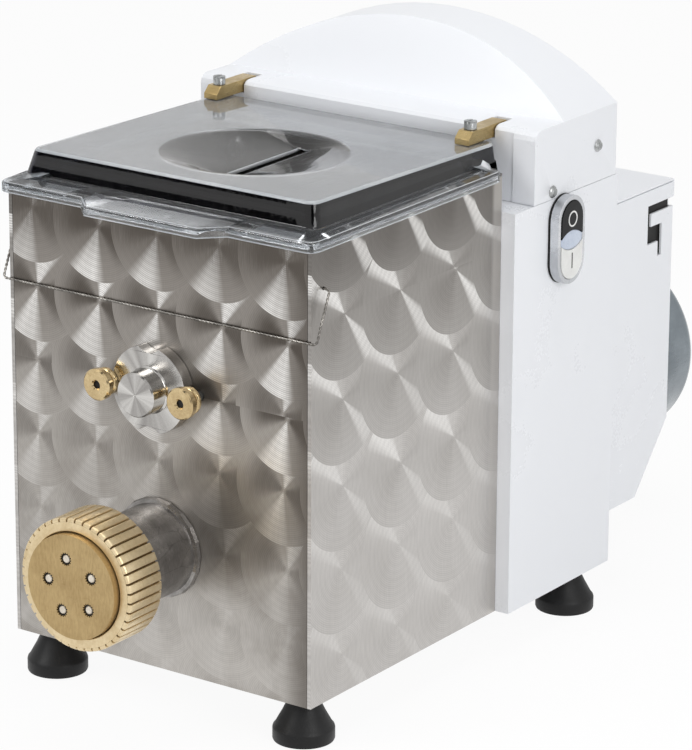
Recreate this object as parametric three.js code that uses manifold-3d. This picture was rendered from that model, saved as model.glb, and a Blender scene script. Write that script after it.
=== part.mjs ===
// Electric pasta maker: a stainless mixing and extruding box in front of a white drive column.
// Millimetres, +X right, +Y back, +Z up. While modelling, x = 0 is the axis of the auger and mixer,
// y = 0 the outer face of the front panel and z = 0 the floor. The last section moves the whole
// machine so that the origin is the middle of its bounding box, at the floor.
import * as THREE from 'three';
import { mergeVertices } from 'three/addons/utils/BufferGeometryUtils.js';
import Module from 'manifold-3d';

const wasm = await Module();
wasm.setup();

// Fits, cuts and stock
const seatGap = 0.3;
const runGap = 0.4;
const cutOverrun = 2;
const sheet = 1.5;

// Stainless box
const boxWidth = 225;
const boxDepth = 199.7;
const boxHeight = 284.7;
const panelReturn = 9;
const hemWidth = 2.5;

// Feet
const footHeight = 28.2;
const footRadius = 19;
const footRimHeight = 8.5;
const footBevel = 1.2;
const footTopRadius = 11;
const footFrontInset = 17.5;
const footRearInset = 17.5;
const footRearSetback = 24.5;
const footStudRadius = 4;
const footStudLength = 9;

// Extruding barrel
const augerAxisHeight = 78.8;
const barrelRadius = 28.5;
const barrelWall = 5.5;
const barrelReach = 66.2;
const barrelFlangeRadius = 34;
const barrelFlangeThickness = 7;
const weldWidth = 3.2;
const weldShoulderShare = 0.8;
const thrustBushLength = 12;
const feedStart = 36;
const feedLength = 125;
const feedWidth = 31;

// Die with its cores, and the ring nut that clamps it
const dieFaceRadius = 32.5;
const dieFaceChamfer = 1.5;
const dieFlangeRadius = 35.4;
const dieFlangeThickness = 7.5;
const dieProud = 4.4;
const dieHoleRadius = 4.15;
const dieHoleCircle = 17.3;
const dieHoleCount = 5;
const dieTurn = 12;
const diePocketDepth = 6;
const coreRadius = 2.7;
const spiderThickness = 3;
const flowCircleShare = 0.95;
const ringLip = 6.5;
const ringWidth = 30.6;
const ringRadius = 41.25;
const ringChamfer = 2.2;
const ribCount = 28;
const ribDepth = 1.6;
const ribShares = [[0, 0], [0.68, 0], [0.74, 1], [0.94, 1]];

// Auger
const augerCoreRadius = 9;
const augerNoseRadius = 4;
const augerPitch = 36;
const flightThickness = 3;
const augerTipGap = 2;
const shaftRadius = 8;

// Mixer
const paddleGap = 7;
const paddleCount = 4;
const paddleWidth = 22;
const paddleThickness = 6;
const paddleTwist = 25;
const journalRadius = 6;
const troughLift = 2;
const bushRadius = 12;
const bushHeadRadius = 17;
const bushHeadThickness = 2;

// Hopper tub and its bolts
const tubRimInset = 7.5;
const tubEndGap = 2;
const tubRim = 1.5;
const boltHeadRadius = 6.5;
const boltHeadHeight = 2.6;
const boltHeadShare = 0.7;
const boltRadius = 3;
const boltNutRadius = 5;
const boltNutHeight = 4;
const boltInset = 25.5;
const boltDrop = 16.7;

// Mixer bearing flange, studs and thumb nuts
const hubRadius = 13.75;
const hubReach = 22.4;
const hubChamfer = 1;
const lobeRadius = 27.3;
const flangeThickness = 8.7;
const studSpread = 31.2;
const studRadius = 3;
const studHeadRadius = 5;
const studRecess = 3;
const sideScallopRadius = 7;
const endScallopRadius = 10;
const endScallopSpread = 33;
const nutRadius = 9.85;
const nutWaistRadius = 6.8;
const nutCollarRadius = 8.6;
const nutLength = 10.9;
const nutHeadLength = 5.6;
const nutWaistLength = 2.2;
const nutChamfer = 0.8;
const nutMouthRadius = 2.4;

// Lid
const lidWall = 2.6;
const lidOverhang = 3.3;
const lidLeftOverhang = 6.5;
const lidSkirt = 6.4;
const lidCorner = 7.5;
const lidInnerCorner = 1.5;
const lidRearGap = 2;
const plateauLeftInset = 0.8;
const plateauLeftDraft = 5;
const plateauRightInset = 16.4;
const plateauFrontInset = 24.1;
const plateauTail = 18.3;
const plateauDraft = 1.5;
const plateauFrontRise = 15.9;
const plateauRearRise = 11;
const plateauCorner = 7;
const lipFrontHalf = 41.5;
const lipRearHalf = 54.6;
const lipReach = 13.1;
const funnelRadius = 59;
const funnelShift = -3;
const funnelCentre = 101.6;
const funnelDepth = 10;
const funnelArcHalf = 55;
const slotWidth = 8.7;
const slotLength = 77.5;
const slotShift = 12.5;

// Lid hinge
const barLeftInset = 6;
const barRightInset = 26.5;
const barWidth = 10.3;
const barHeight = 8.2;
const barNose = 4.5;
const barReach = 39.3;
const lugRadius = 5.2;
const pivotSetback = 12;
const pivotRise = 1.06;
const pivotRadius = 3;
const barScrewRadius = 2;
const barScrewHead = 4;
const barScrewHeadHeight = 5;
const barScrewSetback = 29.7;
const barNutRadius = 3.3;
const barNutHeight = 2.6;
const driverSlotWidth = 1.2;
const driverSlotDepth = 1.8;
const bearingWidth = 9;
const bearingDepth = 16;
const bearingDrop = 8;
const notchGap = 0.6;
const notchRearGap = 8.8;

// Wire bail
const wireRadius = 0.9;
const wireBend = 2.7;
const bailPivotInset = 12;
const bailPivotDrop = 25.9;
const bailRise = 47.5;
const bailStandOff = 3.6;

// Drive column
const columnRightOverhang = 9.8;
const columnLeftOverhang = 22.2;
const columnDepth = 119.5;
const columnDrop = 22.9;
const columnFlangeRise = 18;
const columnFlangeInset = 4.5;
const ledgeDepth = 21.7;
const ledgeReturn = 12;

// Hood
const ledgeRise = 24.1;
const hoodBend = 6;
const hoodRearInset = 2.8;
const cheekWidth = 16.3;
const cheekStep = 1;
const archRise = 45;
const archSetback = 32.3;
const archLean = 23;
const hoodScrewHead = 4;
const hoodScrewHeadHeight = 1.8;
const hoodScrewHeadShare = 0.6;
const hoodScrewRadius = 2;
const hoodScrewLength = 8;
const hoodScrewFrontInset = 20.6;
const hoodScrewFrontRise = 4.7;
const hoodScrewRearInset = 22.4;
const hoodScrewRearRise = 23.2;

// Push-button switch
const switchHeight = 56.8;
const switchWidth = 30.6;
const switchSetback = 53.4;
const switchDrop = 27;
const switchHoleWidth = 20;
const switchHoleHeight = 46;
const gasketThickness = 1;
const bezelThickness = 6.2;
const bezelTaper = 1.2;
const bezelRim = 1.7;
const buttonProud = 0.8;
const buttonDepth = 4.2;
const buttonTravel = 2.5;
const lensHalfHeight = 6;
const lensEdgeHalfHeight = 1.65;
const stemRadius = 2.5;
const stemSpread = 30;
const stemLength = 13;
const blockWidth = 34;
const blockHeight = 52;
const blockDepth = 34;

// Gears: the motor drives the countershaft, its pinion the auger gear, and that the mixer gear
const gearModule = 2;
const pressureAngle = 25;
const addendumShare = 1;
const dedendumShare = 1.25;
const gearBacklash = 0.3;
const motorTeeth = 12;
const counterGearTeeth = 48;
const counterPinionTeeth = 14;
const augerTeeth = 46;
const mixerTeeth = 56;
const coarseFace = 12;
const fineFace = 10;
const gearSideGap = 5;
const stageGap = 8;
const counterShaftRadius = 6;

// Gear case and bearings
const caseWall = 3.5;
const caseFloor = 4;
const caseMargin = 3;
const bearingOuter = 15;
const bearingLength = 7;

// Motor
const motorFlangeRadius = 52;
const motorFlangeThickness = 6;
const motorRadius = 56;
const motorFinHeight = 4;
const motorFinThickness = 2.4;
const motorFinCount = 12;
const motorFinShare = 0.7;
const motorLength = 188;
const motorShaftRadius = 7;
const endShieldShare = 0.75;
const cowlRadius = 66;
const cowlSheet = 1.2;
const cowlTuck = 9;
const cowlEdge = 10;
const cowlTail = 84.9;
const cowlLugWidth = 14;
const fanRadius = 55;
const fanHubRadius = 16;
const fanBladeCount = 8;
const fanBladeThickness = 2;
const fanWidth = 22;
const fanSetback = 22;
const cowlEdgeSteps = 2;
const grilleSlots = 10;
const grilleSlotWidth = 6;
const grilleInner = 16;
const grilleOuter = 50;

// Rear cover
const coverInset = 4.3;
const coverDepth = 76.7;
const coverDrop = 23;
const coverSlantHeight = 77.2;
const coverFootHeight = 31.7;
const coverSlantDepth = 38.3;
const coverLip = 12;
const motorHoleGap = 2.5;
const hookReach = 31;
const hookHeight = 26;
const hookMouth = 6;
const tabThickness = 8.5;
const tabReach = 27;
const hookSlotWidth = 4.5;
const hookSlotSetback = 13.5;
const hookSlotDrop = 36;

// Cable gland on the back of the column
const glandRadius = 9;
const glandLength = 14;
const glandHexHeight = 5;
const glandNeckRadius = 7;
const glandBore = 3.5;
const glandShank = 5.5;
const glandHeight = 16;
const glandInset = 38.3;

// Sides of a full circle on round pieces
const fineSides = 32;
const roundSides = 20;
const smallSides = 12;
const nutSides = 16;
const flightSides = 10;
const bendSteps = 3;

// Colours and finishes
function finish(color, roughness, metalness) {
  return new THREE.MeshStandardMaterial({ color, roughness, metalness });
}

const stainless = () => finish(0xbab6b0, 0.35, 1);
const castSteel = () => finish(0x9a9996, 0.5, 1);
const brass = () => finish(0xc9a766, 0.35, 1);
const zincSteel = () => finish(0xa8acae, 0.35, 1);
const whitePaint = () => finish(0xeceef2, 0.4, 0);
const blackRubber = () => finish(0x161616, 0.7, 0);
const blackPlastic = () => finish(0x1a1a1c, 0.4, 0);
const whitePlastic = () => finish(0xe8e8e6, 0.35, 0);
const greyPlastic = () => finish(0xb9bcc0, 0.35, 0.2);
const clearPlastic = () => {
  const material = finish(0xe9eef0, 0.08, 0);
  material.transparent = true;
  material.opacity = 0.35;
  return material;
};

// Solids and booleans
const degrees = Math.PI / 180;

function toSolid(geometry) {
  const bare = geometry.index ? geometry.toNonIndexed() : geometry.clone();
  for (const name of Object.keys(bare.attributes)) {
    if (name !== 'position') bare.deleteAttribute(name);
  }
  const merged = mergeVertices(bare, mergeShare * sheet);
  const triVerts = [];
  const index = merged.index.array;
  for (let i = 0; i < index.length; i += 3) {
    const [a, b, c] = [index[i], index[i + 1], index[i + 2]];
    if (a !== b && b !== c && c !== a) triVerts.push(a, b, c);
  }
  const vertProperties = new Float32Array(merged.attributes.position.array);
  const mesh = new wasm.Mesh({ numProp: 3, vertProperties, triVerts: new Uint32Array(triVerts) });
  return new wasm.Manifold(mesh);
}

function joined(...solids) {
  return solids.reduce((whole, piece) => whole.add(piece));
}

function cut(solid, ...tools) {
  return tools.reduce((rest, tool) => rest.subtract(tool), solid);
}

function common(...solids) {
  return solids.reduce((whole, piece) => whole.intersect(piece));
}

function toMesh(name, solid, material) {
  const raw = solid.getMesh();
  const geometry = new THREE.BufferGeometry();
  geometry.setAttribute('position', new THREE.BufferAttribute(new Float32Array(raw.vertProperties), 3));
  geometry.setIndex(new THREE.BufferAttribute(new Uint32Array(raw.triVerts), 1));
  const flat = geometry.toNonIndexed();
  flat.computeVertexNormals();
  const mesh = new THREE.Mesh(flat, material);
  mesh.name = name;
  return mesh;
}

function block(x0, x1, y0, y1, z0, z1) {
  const geometry = new THREE.BoxGeometry(Math.abs(x1 - x0), Math.abs(y1 - y0), Math.abs(z1 - z0));
  geometry.translate((x0 + x1) / 2, (y0 + y1) / 2, (z0 + z1) / 2);
  return toSolid(geometry);
}

function rodX(radius, x0, x1, y, z, sides = smallSides) {
  const geometry = new THREE.CylinderGeometry(radius, radius, Math.abs(x1 - x0), sides);
  geometry.rotateZ(-Math.PI / 2);
  geometry.translate((x0 + x1) / 2, y, z);
  return toSolid(geometry);
}

function rodY(radius, y0, y1, x, z, sides = roundSides) {
  const geometry = new THREE.CylinderGeometry(radius, radius, Math.abs(y1 - y0), sides);
  geometry.translate(x, (y0 + y1) / 2, z);
  return toSolid(geometry);
}

function rodZ(radius, z0, z1, x, y, sides = smallSides) {
  const geometry = new THREE.CylinderGeometry(radius, radius, Math.abs(z1 - z0), sides);
  geometry.rotateX(Math.PI / 2);
  geometry.translate(x, y, (z0 + z1) / 2);
  return toSolid(geometry);
}

// A profile of [radius, height] pairs as a lathe geometry about its own Y axis, faces turned out
function lathe(profile, sides) {
  const points = profile.map(([radius, along]) => new THREE.Vector2(radius, along));
  return outward(new THREE.LatheGeometry(points, sides));
}

function outward(geometry) {
  if (toSolid(geometry).volume() > 0) return geometry;
  const index = geometry.index.array;
  for (let i = 0; i < index.length; i += 3) [index[i], index[i + 1]] = [index[i + 1], index[i]];
  return geometry;
}

function turnedY(profile, x, z, sides = roundSides) {
  const geometry = lathe(profile, sides);
  geometry.translate(x, 0, z);
  return toSolid(geometry);
}

function turnedZ(profile, x, y, sides = roundSides) {
  const geometry = lathe(profile, sides);
  geometry.rotateX(Math.PI / 2);
  geometry.translate(x, y, 0);
  return toSolid(geometry);
}

// A lathe whose axis runs along X, to the right for side 1 and to the left for side -1
function turnedX(profile, side, x, y, z, sides = smallSides) {
  const geometry = lathe(profile, sides);
  geometry.rotateZ((-side * Math.PI) / 2);
  geometry.translate(x, y, z);
  return toSolid(geometry);
}

// A shape drawn in x and z, swept along Y
function sweptY(shape, y0, y1) {
  const geometry = new THREE.ExtrudeGeometry(shape, { depth: y1 - y0, bevelEnabled: false });
  geometry.rotateX(Math.PI / 2);
  geometry.translate(0, y1, 0);
  return toSolid(geometry);
}

// A shape drawn in y and z, swept along X
function sweptX(shape, x0, x1) {
  const geometry = new THREE.ExtrudeGeometry(shape, { depth: x1 - x0, bevelEnabled: false });
  const [right, back, up] = [[1, 0, 0], [0, 1, 0], [0, 0, 1]].map((axis) => new THREE.Vector3(...axis));
  geometry.applyMatrix4(new THREE.Matrix4().makeBasis(back, up, right));
  geometry.translate(x0, 0, 0);
  return toSolid(geometry);
}

// A shape drawn in x and y, swept along Z
function sweptZ(shape, z0, z1) {
  const geometry = new THREE.ExtrudeGeometry(shape, { depth: z1 - z0, bevelEnabled: false });
  geometry.translate(0, 0, z0);
  return toSolid(geometry);
}

function polygon(points) {
  return new THREE.Shape(points.map(([a, b]) => new THREE.Vector2(a, b)));
}

// A skin through rings of equal point counts, anticlockwise about the way they advance, with fans as ends
function loft(rings) {
  const count = rings[0].length;
  const index = [];
  for (let ring = 0; ring + 1 < rings.length; ring += 1) {
    for (let i = 0; i < count; i += 1) {
      const a = ring * count + i;
      const b = ring * count + ((i + 1) % count);
      index.push(a, b, b + count, a, b + count, a + count);
    }
  }
  const centre = (ring) => [0, 1, 2].map((axis) => ring.reduce((sum, point) => sum + point[axis], 0) / count);
  const low = rings.length * count;
  const top = (rings.length - 1) * count;
  for (let i = 0; i < count; i += 1) {
    const next = (i + 1) % count;
    index.push(low, next, i, low + 1, top + i, top + next);
  }
  const positions = [...rings.flat(2), ...centre(rings[0]), ...centre(rings[rings.length - 1])];
  const geometry = new THREE.BufferGeometry();
  geometry.setAttribute('position', new THREE.Float32BufferAttribute(positions, 3));
  geometry.setIndex(index);
  return toSolid(geometry);
}

function spread(count, make) {
  return Array.from({ length: count }, (_, i) => make(i));
}

// Points on an arc of the given degrees, both ends included
function arc(centreA, centreB, radius, from, to, steps) {
  return spread(steps + 1, (i) => {
    const angle = (from + ((to - from) * i) / steps) * degrees;
    return [centreA + radius * Math.cos(angle), centreB + radius * Math.sin(angle)];
  });
}

// A rounded rectangle as anticlockwise points
function roundedRing(a0, a1, b0, b1, radius, steps = 4) {
  const [low, high, front, back] = [a0 + radius, a1 - radius, b0 + radius, b1 - radius];
  return [...arc(high, front, radius, -90, 0, steps), ...arc(high, back, radius, 0, 90, steps),
    ...arc(low, back, radius, 90, 180, steps), ...arc(low, front, radius, 180, 270, steps)];
}

// An upright stadium about the point a, b
function stadium(a, b, width, height, steps = 6) {
  const rise = (height - width) / 2;
  const radius = width / 2;
  return [...arc(a, b + rise, radius, 0, 180, 2 * steps), ...arc(a, b - rise, radius, 180, 360, 2 * steps)];
}

const mergeShare = 1e-4;

// Levels and planes that several pieces share
const boxBottom = footHeight + seatGap;
const boxTop = boxBottom + boxHeight;
const boxHalf = boxWidth / 2;
const columnFront = boxDepth + seatGap;
const columnRear = columnFront + columnDepth;
const columnTop = boxTop - columnDrop;
const columnRight = boxHalf + columnRightOverhang;
const columnLeft = -boxHalf - columnLeftOverhang;
const columnMiddle = (columnRight + columnLeft) / 2;
const meshDistance = (gearModule * (augerTeeth + mixerTeeth)) / 2;
const counterDistance = (gearModule * (counterPinionTeeth + augerTeeth)) / 2;
const augerZ = boxBottom + augerAxisHeight;
const mixerZ = augerZ + meshDistance;
const boreRadius = barrelRadius - barrelWall;
const glandX = columnRight - glandInset;
const tubRadius = meshDistance - barrelRadius - sheet - troughLift;
const tubRimTop = boxTop + seatGap + tubRim;
const tubFront = sheet + tubEndGap;
const tubRear = boxDepth - tubEndGap;
const lidUnder = tubRimTop + seatGap;
const flangeTop = lidUnder + lidWall;
const hoodFront = columnFront + ledgeDepth;
const hoodRear = columnRear - hoodRearInset;
const hoodBottom = columnTop + seatGap;
const ledgeTop = boxTop + ledgeRise;
const archFront = hoodFront + archSetback;
const hoodInner = hoodFront + cheekStep + sheet;
const pivotY = hoodFront + pivotSetback;
const barrelFront = -barrelReach;
const dieBack = barrelFront - seatGap;
const dieFlangeFront = dieBack - dieFlangeThickness;
const ringFace = dieFlangeFront - seatGap - ringLip;
const dieFace = ringFace - dieProud;
const caseFront = columnFront + sheet + seatGap;
const coarseFront = caseFront + caseFloor + gearSideGap;
const coarseRear = coarseFront + coarseFace;
const fineFront = coarseRear + stageGap;
const fineRear = fineFront + fineFace;
const caseRear = fineRear + gearSideGap + caseFloor;
const coverFront = columnRear + seatGap;
const coverRear = coverFront + coverDepth;
const coverTop = columnTop - coverDrop;
const coverSlantTop = boxBottom + coverSlantHeight;
const coverBottom = boxBottom + coverFootHeight;
const coverRight = columnRight - coverInset;
const coverLeft = columnLeft + coverInset;
const motorFront = caseRear + seatGap;
const motorRear = motorFront + motorLength;
const cowlRear = motorRear + cowlTail;
const cowlFront = coverRear - cowlTuck;
const nutBack = -flangeThickness - 2 * seatGap;

// Stainless box: front panel with folded returns, side panels with a narrow hem, and a base plate
function studPlaces() {
  return [-studSpread, studSpread];
}

function frontPanel() {
  const half = boxHalf - hemWidth - seatGap;
  const returnBottom = boxBottom + sheet + seatGap;
  const plate = block(-half, half, 0, sheet, boxBottom, boxTop);
  const returns = [-1, 1].map((side) => block(side * (half - sheet), side * half, sheet / 2, panelReturn,
    returnBottom, boxTop));
  const barrelHole = rodY(barrelRadius + seatGap, -cutOverrun, sheet + cutOverrun, 0, augerZ);
  const mixerHole = rodY(hubRadius, -cutOverrun, sheet + cutOverrun, 0, mixerZ);
  const studHoles = studPlaces().map((x) =>
    rodY(studRadius + seatGap, -cutOverrun, sheet + cutOverrun, x, mixerZ, smallSides));
  const panel = cut(joined(plate, ...returns), barrelHole, mixerHole, ...studHoles);
  return toMesh('front_panel', panel, stainless());
}

function sidePanel(name, side) {
  const plate = block(side * (boxHalf - sheet), side * boxHalf, 0, boxDepth, boxBottom, boxTop);
  const hem = block(side * (boxHalf - hemWidth), side * boxHalf, 0, sheet, boxBottom, boxTop);
  const pivotHole = rodX(wireRadius + seatGap, side * (boxHalf - sheet - cutOverrun),
    side * (boxHalf + cutOverrun), bailPivotInset, boxTop - bailPivotDrop);
  return toMesh(name, cut(joined(plate, hem), pivotHole), stainless());
}

function basePlate() {
  const half = boxHalf - sheet - seatGap;
  const plate = block(-half, half, sheet + seatGap, boxDepth, boxBottom, boxBottom + sheet);
  const holes = [-1, 1].map((side) => rodZ(footStudRadius + seatGap, boxBottom - cutOverrun,
    boxBottom + sheet + cutOverrun, side * (boxHalf - footFrontInset), footFrontInset));
  return toMesh('base_plate', cut(plate, ...holes), stainless());
}

// Hopper tub: sloping sides that run tangent into a round trough, and a rim that lies on the box
function tubOutline(offset, top) {
  const rim = boxHalf - tubRimInset + offset;
  const radius = tubRadius + offset;
  const rise = top - mixerZ;
  const tangent = (Math.atan2(rise, rim) - Math.acos(radius / Math.hypot(rim, rise))) / degrees;
  const trough = arc(0, mixerZ, radius, 180 - tangent, 360 + tangent, roundSides);
  return polygon([[rim, top], [-rim, top], ...trough]);
}

function hopperTub() {
  const body = sweptY(tubOutline(sheet, tubRimTop), tubFront, tubRear);
  const rim = block(-boxHalf, boxHalf, 0, boxDepth, tubRimTop - tubRim, tubRimTop);
  const cavity = sweptY(tubOutline(0, tubRimTop + cutOverrun), tubFront + sheet, tubRear - sheet);
  const feed = block(-feedWidth / 2, feedWidth / 2, feedStart, feedStart + feedLength,
    mixerZ - tubRadius - sheet - cutOverrun, mixerZ - tubRadius / 2);
  const frontHole = rodY(hubRadius, tubFront - cutOverrun, tubFront + sheet + cutOverrun, 0, mixerZ);
  const rearHole = rodY(bushRadius + seatGap, tubRear - sheet - cutOverrun, tubRear + cutOverrun, 0, mixerZ);
  const boltHoles = boltPlaces().map((x) => rodY(boltRadius + seatGap, tubRear - sheet - cutOverrun,
    tubRear + cutOverrun, x, boltZ, smallSides));
  const tub = cut(joined(body, rim), cavity, feed, frontHole, rearHole, ...boltHoles);
  return toMesh('hopper_tub', tub, stainless());
}

const boltZ = tubRimTop - boltDrop;

function boltPlaces() {
  return [boxHalf - boltInset, boltInset - boxHalf];
}

function tubBolt(name, x) {
  const face = tubRear - sheet - seatGap;
  const nut = columnFront + sheet + seatGap;
  const crown = boltHeadRadius * boltHeadShare;
  const profile = [[0, face - boltHeadHeight], [crown, face - boltHeadHeight],
    [boltHeadRadius, face - boltHeadHeight / 2], [boltHeadRadius, face], [boltRadius, face],
    [boltRadius, nut], [boltNutRadius, nut], [boltNutRadius, nut + boltNutHeight], [0, nut + boltNutHeight]];
  return toMesh(name, turnedY(profile, x, boltZ, smallSides), zincSteel());
}

// Barrel with its weld bead at the panel, its feed throat under the tub and its rear flange
function extrusionBarrel() {
  const rear = boxDepth - seatGap;
  const shoulder = weldWidth * weldShoulderShare;
  const profile = [[boreRadius, barrelFront], [barrelRadius, barrelFront],
    [barrelRadius, -seatGap - weldWidth], [barrelRadius + shoulder, -seatGap - shoulder],
    [barrelRadius + weldWidth, -seatGap], [barrelRadius, -seatGap],
    [barrelRadius, rear - barrelFlangeThickness], [barrelFlangeRadius, rear - barrelFlangeThickness],
    [barrelFlangeRadius, rear], [boreRadius, rear], [boreRadius, barrelFront]];
  const tube = turnedY(profile, 0, augerZ);
  const throatHalf = feedWidth / 2 + barrelWall;
  const throatRear = feedStart + feedLength + barrelWall;
  const throat = block(-throatHalf, throatHalf, feedStart - barrelWall, throatRear, augerZ + boreRadius / 2,
    mixerZ - tubRadius / 2);
  const bore = rodY(boreRadius, feedStart - barrelWall - cutOverrun, throatRear + cutOverrun, 0, augerZ);
  const saddle = rodY(tubRadius + sheet + seatGap, 0, boxDepth, 0, mixerZ, 2 * roundSides);
  const feed = block(-feedWidth / 2, feedWidth / 2, feedStart, feedStart + feedLength, augerZ, mixerZ);
  return toMesh('extrusion_barrel', cut(joined(tube, cut(throat, bore)), saddle, feed), castSteel());
}

function thrustBush() {
  const rear = boxDepth - seatGap;
  const bush = cut(rodY(boreRadius - seatGap, rear - thrustBushLength, rear, 0, augerZ),
    rodY(shaftRadius + runGap, rear - thrustBushLength - cutOverrun, rear + cutOverrun, 0, augerZ));
  return toMesh('thrust_bush', bush, brass());
}

// Die plate with its shaping holes, and the spider that carries the cores of the holes
function onDieCircle(circle, turn, make) {
  return spread(dieHoleCount, (i) => {
    const angle = (90 + turn + (360 * i) / dieHoleCount) * degrees;
    return make(circle * Math.cos(angle), augerZ + circle * Math.sin(angle));
  });
}

function diePlate() {
  const pocketFloor = dieBack - diePocketDepth;
  const profile = [[0, dieFace], [dieFaceRadius - dieFaceChamfer, dieFace],
    [dieFaceRadius, dieFace + dieFaceChamfer],
    [dieFaceRadius, dieFlangeFront], [dieFlangeRadius, dieFlangeFront], [dieFlangeRadius, dieBack],
    [boreRadius, dieBack], [boreRadius, pocketFloor], [0, pocketFloor]];
  const holes = onDieCircle(dieHoleCircle, dieTurn, (x, z) =>
    rodY(dieHoleRadius, dieFace - cutOverrun, pocketFloor + cutOverrun, x, z, smallSides));
  return toMesh('die_plate', cut(turnedY(profile, 0, augerZ, fineSides), ...holes), brass());
}

function dieCoreSpider() {
  const front = dieBack - diePocketDepth + seatGap;
  const back = front + spiderThickness;
  const plate = rodY(boreRadius - seatGap, front, back, 0, augerZ);
  const cores = onDieCircle(dieHoleCircle, dieTurn, (x, z) =>
    rodY(coreRadius, dieFace + seatGap, front + spiderThickness / 2, x, z, smallSides));
  const flow = onDieCircle(dieHoleCircle * flowCircleShare, dieTurn + 180 / dieHoleCount, (x, z) =>
    rodY(dieHoleRadius, front - cutOverrun, back + cutOverrun, x, z, smallSides));
  return toMesh('die_core_spider', cut(joined(plate, ...cores), ...flow), brass());
}

// Ring nut: broad ribs with a chamfer in front, and a lip in front of the die flange
function ribRing(inset, y) {
  const pitch = (-2 * Math.PI) / ribCount;
  return spread(ribCount, (i) => ribShares.map(([share, depthShare]) => {
    const angle = (i + share) * pitch;
    const radius = ringRadius - inset - ribDepth * depthShare;
    return [radius * Math.cos(angle), y, augerZ + radius * Math.sin(angle)];
  })).flat();
}

function ringNut() {
  const back = ringFace + ringWidth;
  const body = loft([ribRing(ringChamfer, ringFace), ribRing(0, ringFace + ringChamfer), ribRing(0, back)]);
  const cavity = [[0, ringFace - cutOverrun], [dieFaceRadius + runGap, ringFace - cutOverrun],
    [dieFaceRadius + runGap, dieFlangeFront - seatGap], [dieFlangeRadius + runGap, dieFlangeFront - seatGap],
    [dieFlangeRadius + runGap, barrelFront], [barrelRadius + runGap, barrelFront],
    [barrelRadius + runGap, back + cutOverrun], [0, back + cutOverrun]];
  return toMesh('ring_nut', cut(body, turnedY(cavity, 0, augerZ, fineSides)), brass());
}

// A helical flight from its inner to its outer radius, closed at both ends
function flight(inner, outer, start, end) {
  const steps = Math.ceil(((end - start) / augerPitch) * flightSides);
  const rings = spread(steps + 1, (i) => {
    const angle = (-2 * Math.PI * i) / flightSides;
    const y = start + ((end - start) * i) / steps;
    const corners = [[inner, -1], [outer, -1], [outer, 1], [inner, 1]];
    return corners.map(([r, side]) =>
      [r * Math.cos(angle), y + (side * flightThickness) / 2, augerZ + r * Math.sin(angle)]);
  });
  const index = [];
  for (let i = 0; i < steps; i += 1) {
    for (let k = 0; k < 4; k += 1) {
      const a = 4 * i + k;
      const b = 4 * i + ((k + 1) % 4);
      index.push(a, b + 4, b, a, a + 4, b + 4);
    }
  }
  const last = 4 * steps;
  index.push(0, 1, 2, 0, 2, 3, last, last + 2, last + 1, last, last + 3, last + 2);
  const geometry = new THREE.BufferGeometry();
  geometry.setAttribute('position', new THREE.Float32BufferAttribute(rings.flat(2), 3));
  geometry.setIndex(index);
  return toSolid(outward(geometry));
}

function auger() {
  const tip = barrelFront + augerTipGap;
  const end = boxDepth - seatGap - thrustBushLength - runGap;
  const rear = coarseRear + seatGap;
  const core = turnedY([[0, tip], [augerNoseRadius, tip], [augerCoreRadius, tip + augerCoreRadius],
    [augerCoreRadius, end], [shaftRadius, end], [shaftRadius, rear], [0, rear]], 0, augerZ, flightSides);
  const blade = flight(augerCoreRadius / 2, boreRadius - runGap, tip + augerCoreRadius,
    end - flightThickness);
  return toMesh('auger', joined(core, blade), castSteel());
}

// Gears: involute flanks at the pressure angle, thinned by the backlash
function involute(angle) {
  return Math.tan(angle) - angle;
}

function gearShape(teeth, phase, x, z) {
  const pitchRadius = (gearModule * teeth) / 2;
  const base = pitchRadius * Math.cos(pressureAngle * degrees);
  const root = pitchRadius - gearModule * dedendumShare;
  const tip = pitchRadius + gearModule * addendumShare;
  const halfTooth = Math.PI / (2 * teeth) - gearBacklash / (2 * pitchRadius)
    + involute(pressureAngle * degrees);
  const radii = root < base ? [root, base, pitchRadius, tip] : [root, tip];
  const flank = radii.map((radius) => [radius, halfTooth - involute(Math.acos(Math.min(1, base / radius)))]);
  const tooth = [...flank.map(([radius, angle]) => [radius, -angle]), ...flank.slice().reverse()];
  return polygon(spread(teeth, (i) => tooth.map(([radius, angle]) => {
    const turn = phase + (2 * Math.PI * i) / teeth + angle;
    return [x + radius * Math.cos(turn), z + radius * Math.sin(turn)];
  })).flat());
}

// The phase that sets a gap of the second gear on the tooth of the first that faces it
function matePhase(phase, teeth, mateTeeth, direction) {
  const place = ((direction - phase) * teeth) / (2 * Math.PI);
  return direction + Math.PI - ((2 * Math.PI) / mateTeeth) * (1 / 2 - place);
}

const augerPhase = 0;
const motorPhase = 0;
const counterPinionPhase = matePhase(augerPhase, augerTeeth, counterPinionTeeth, 0);
const mixerPhase = matePhase(augerPhase, augerTeeth, mixerTeeth, Math.PI / 2);
const counterGearPhase = matePhase(motorPhase, motorTeeth, counterGearTeeth, 0);

function wheelOnShaft(name, teeth, phase, z) {
  const wheel = sweptY(gearShape(teeth, phase, 0, z), coarseFront, coarseRear);
  const bore = rodY(shaftRadius + seatGap, coarseFront - cutOverrun, coarseRear + cutOverrun, 0, z);
  return toMesh(name, cut(wheel, bore), castSteel());
}

function countershaft() {
  const shaft = rodY(counterShaftRadius, caseFront, caseRear, counterDistance, augerZ);
  const small = gearShape(counterPinionTeeth, counterPinionPhase, counterDistance, augerZ);
  const large = gearShape(counterGearTeeth, counterGearPhase, counterDistance, augerZ);
  const pinion = sweptY(small, coarseFront, coarseRear);
  const wheel = sweptY(large, fineFront, fineRear);
  return toMesh('countershaft', joined(shaft, pinion, wheel), castSteel());
}

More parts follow.
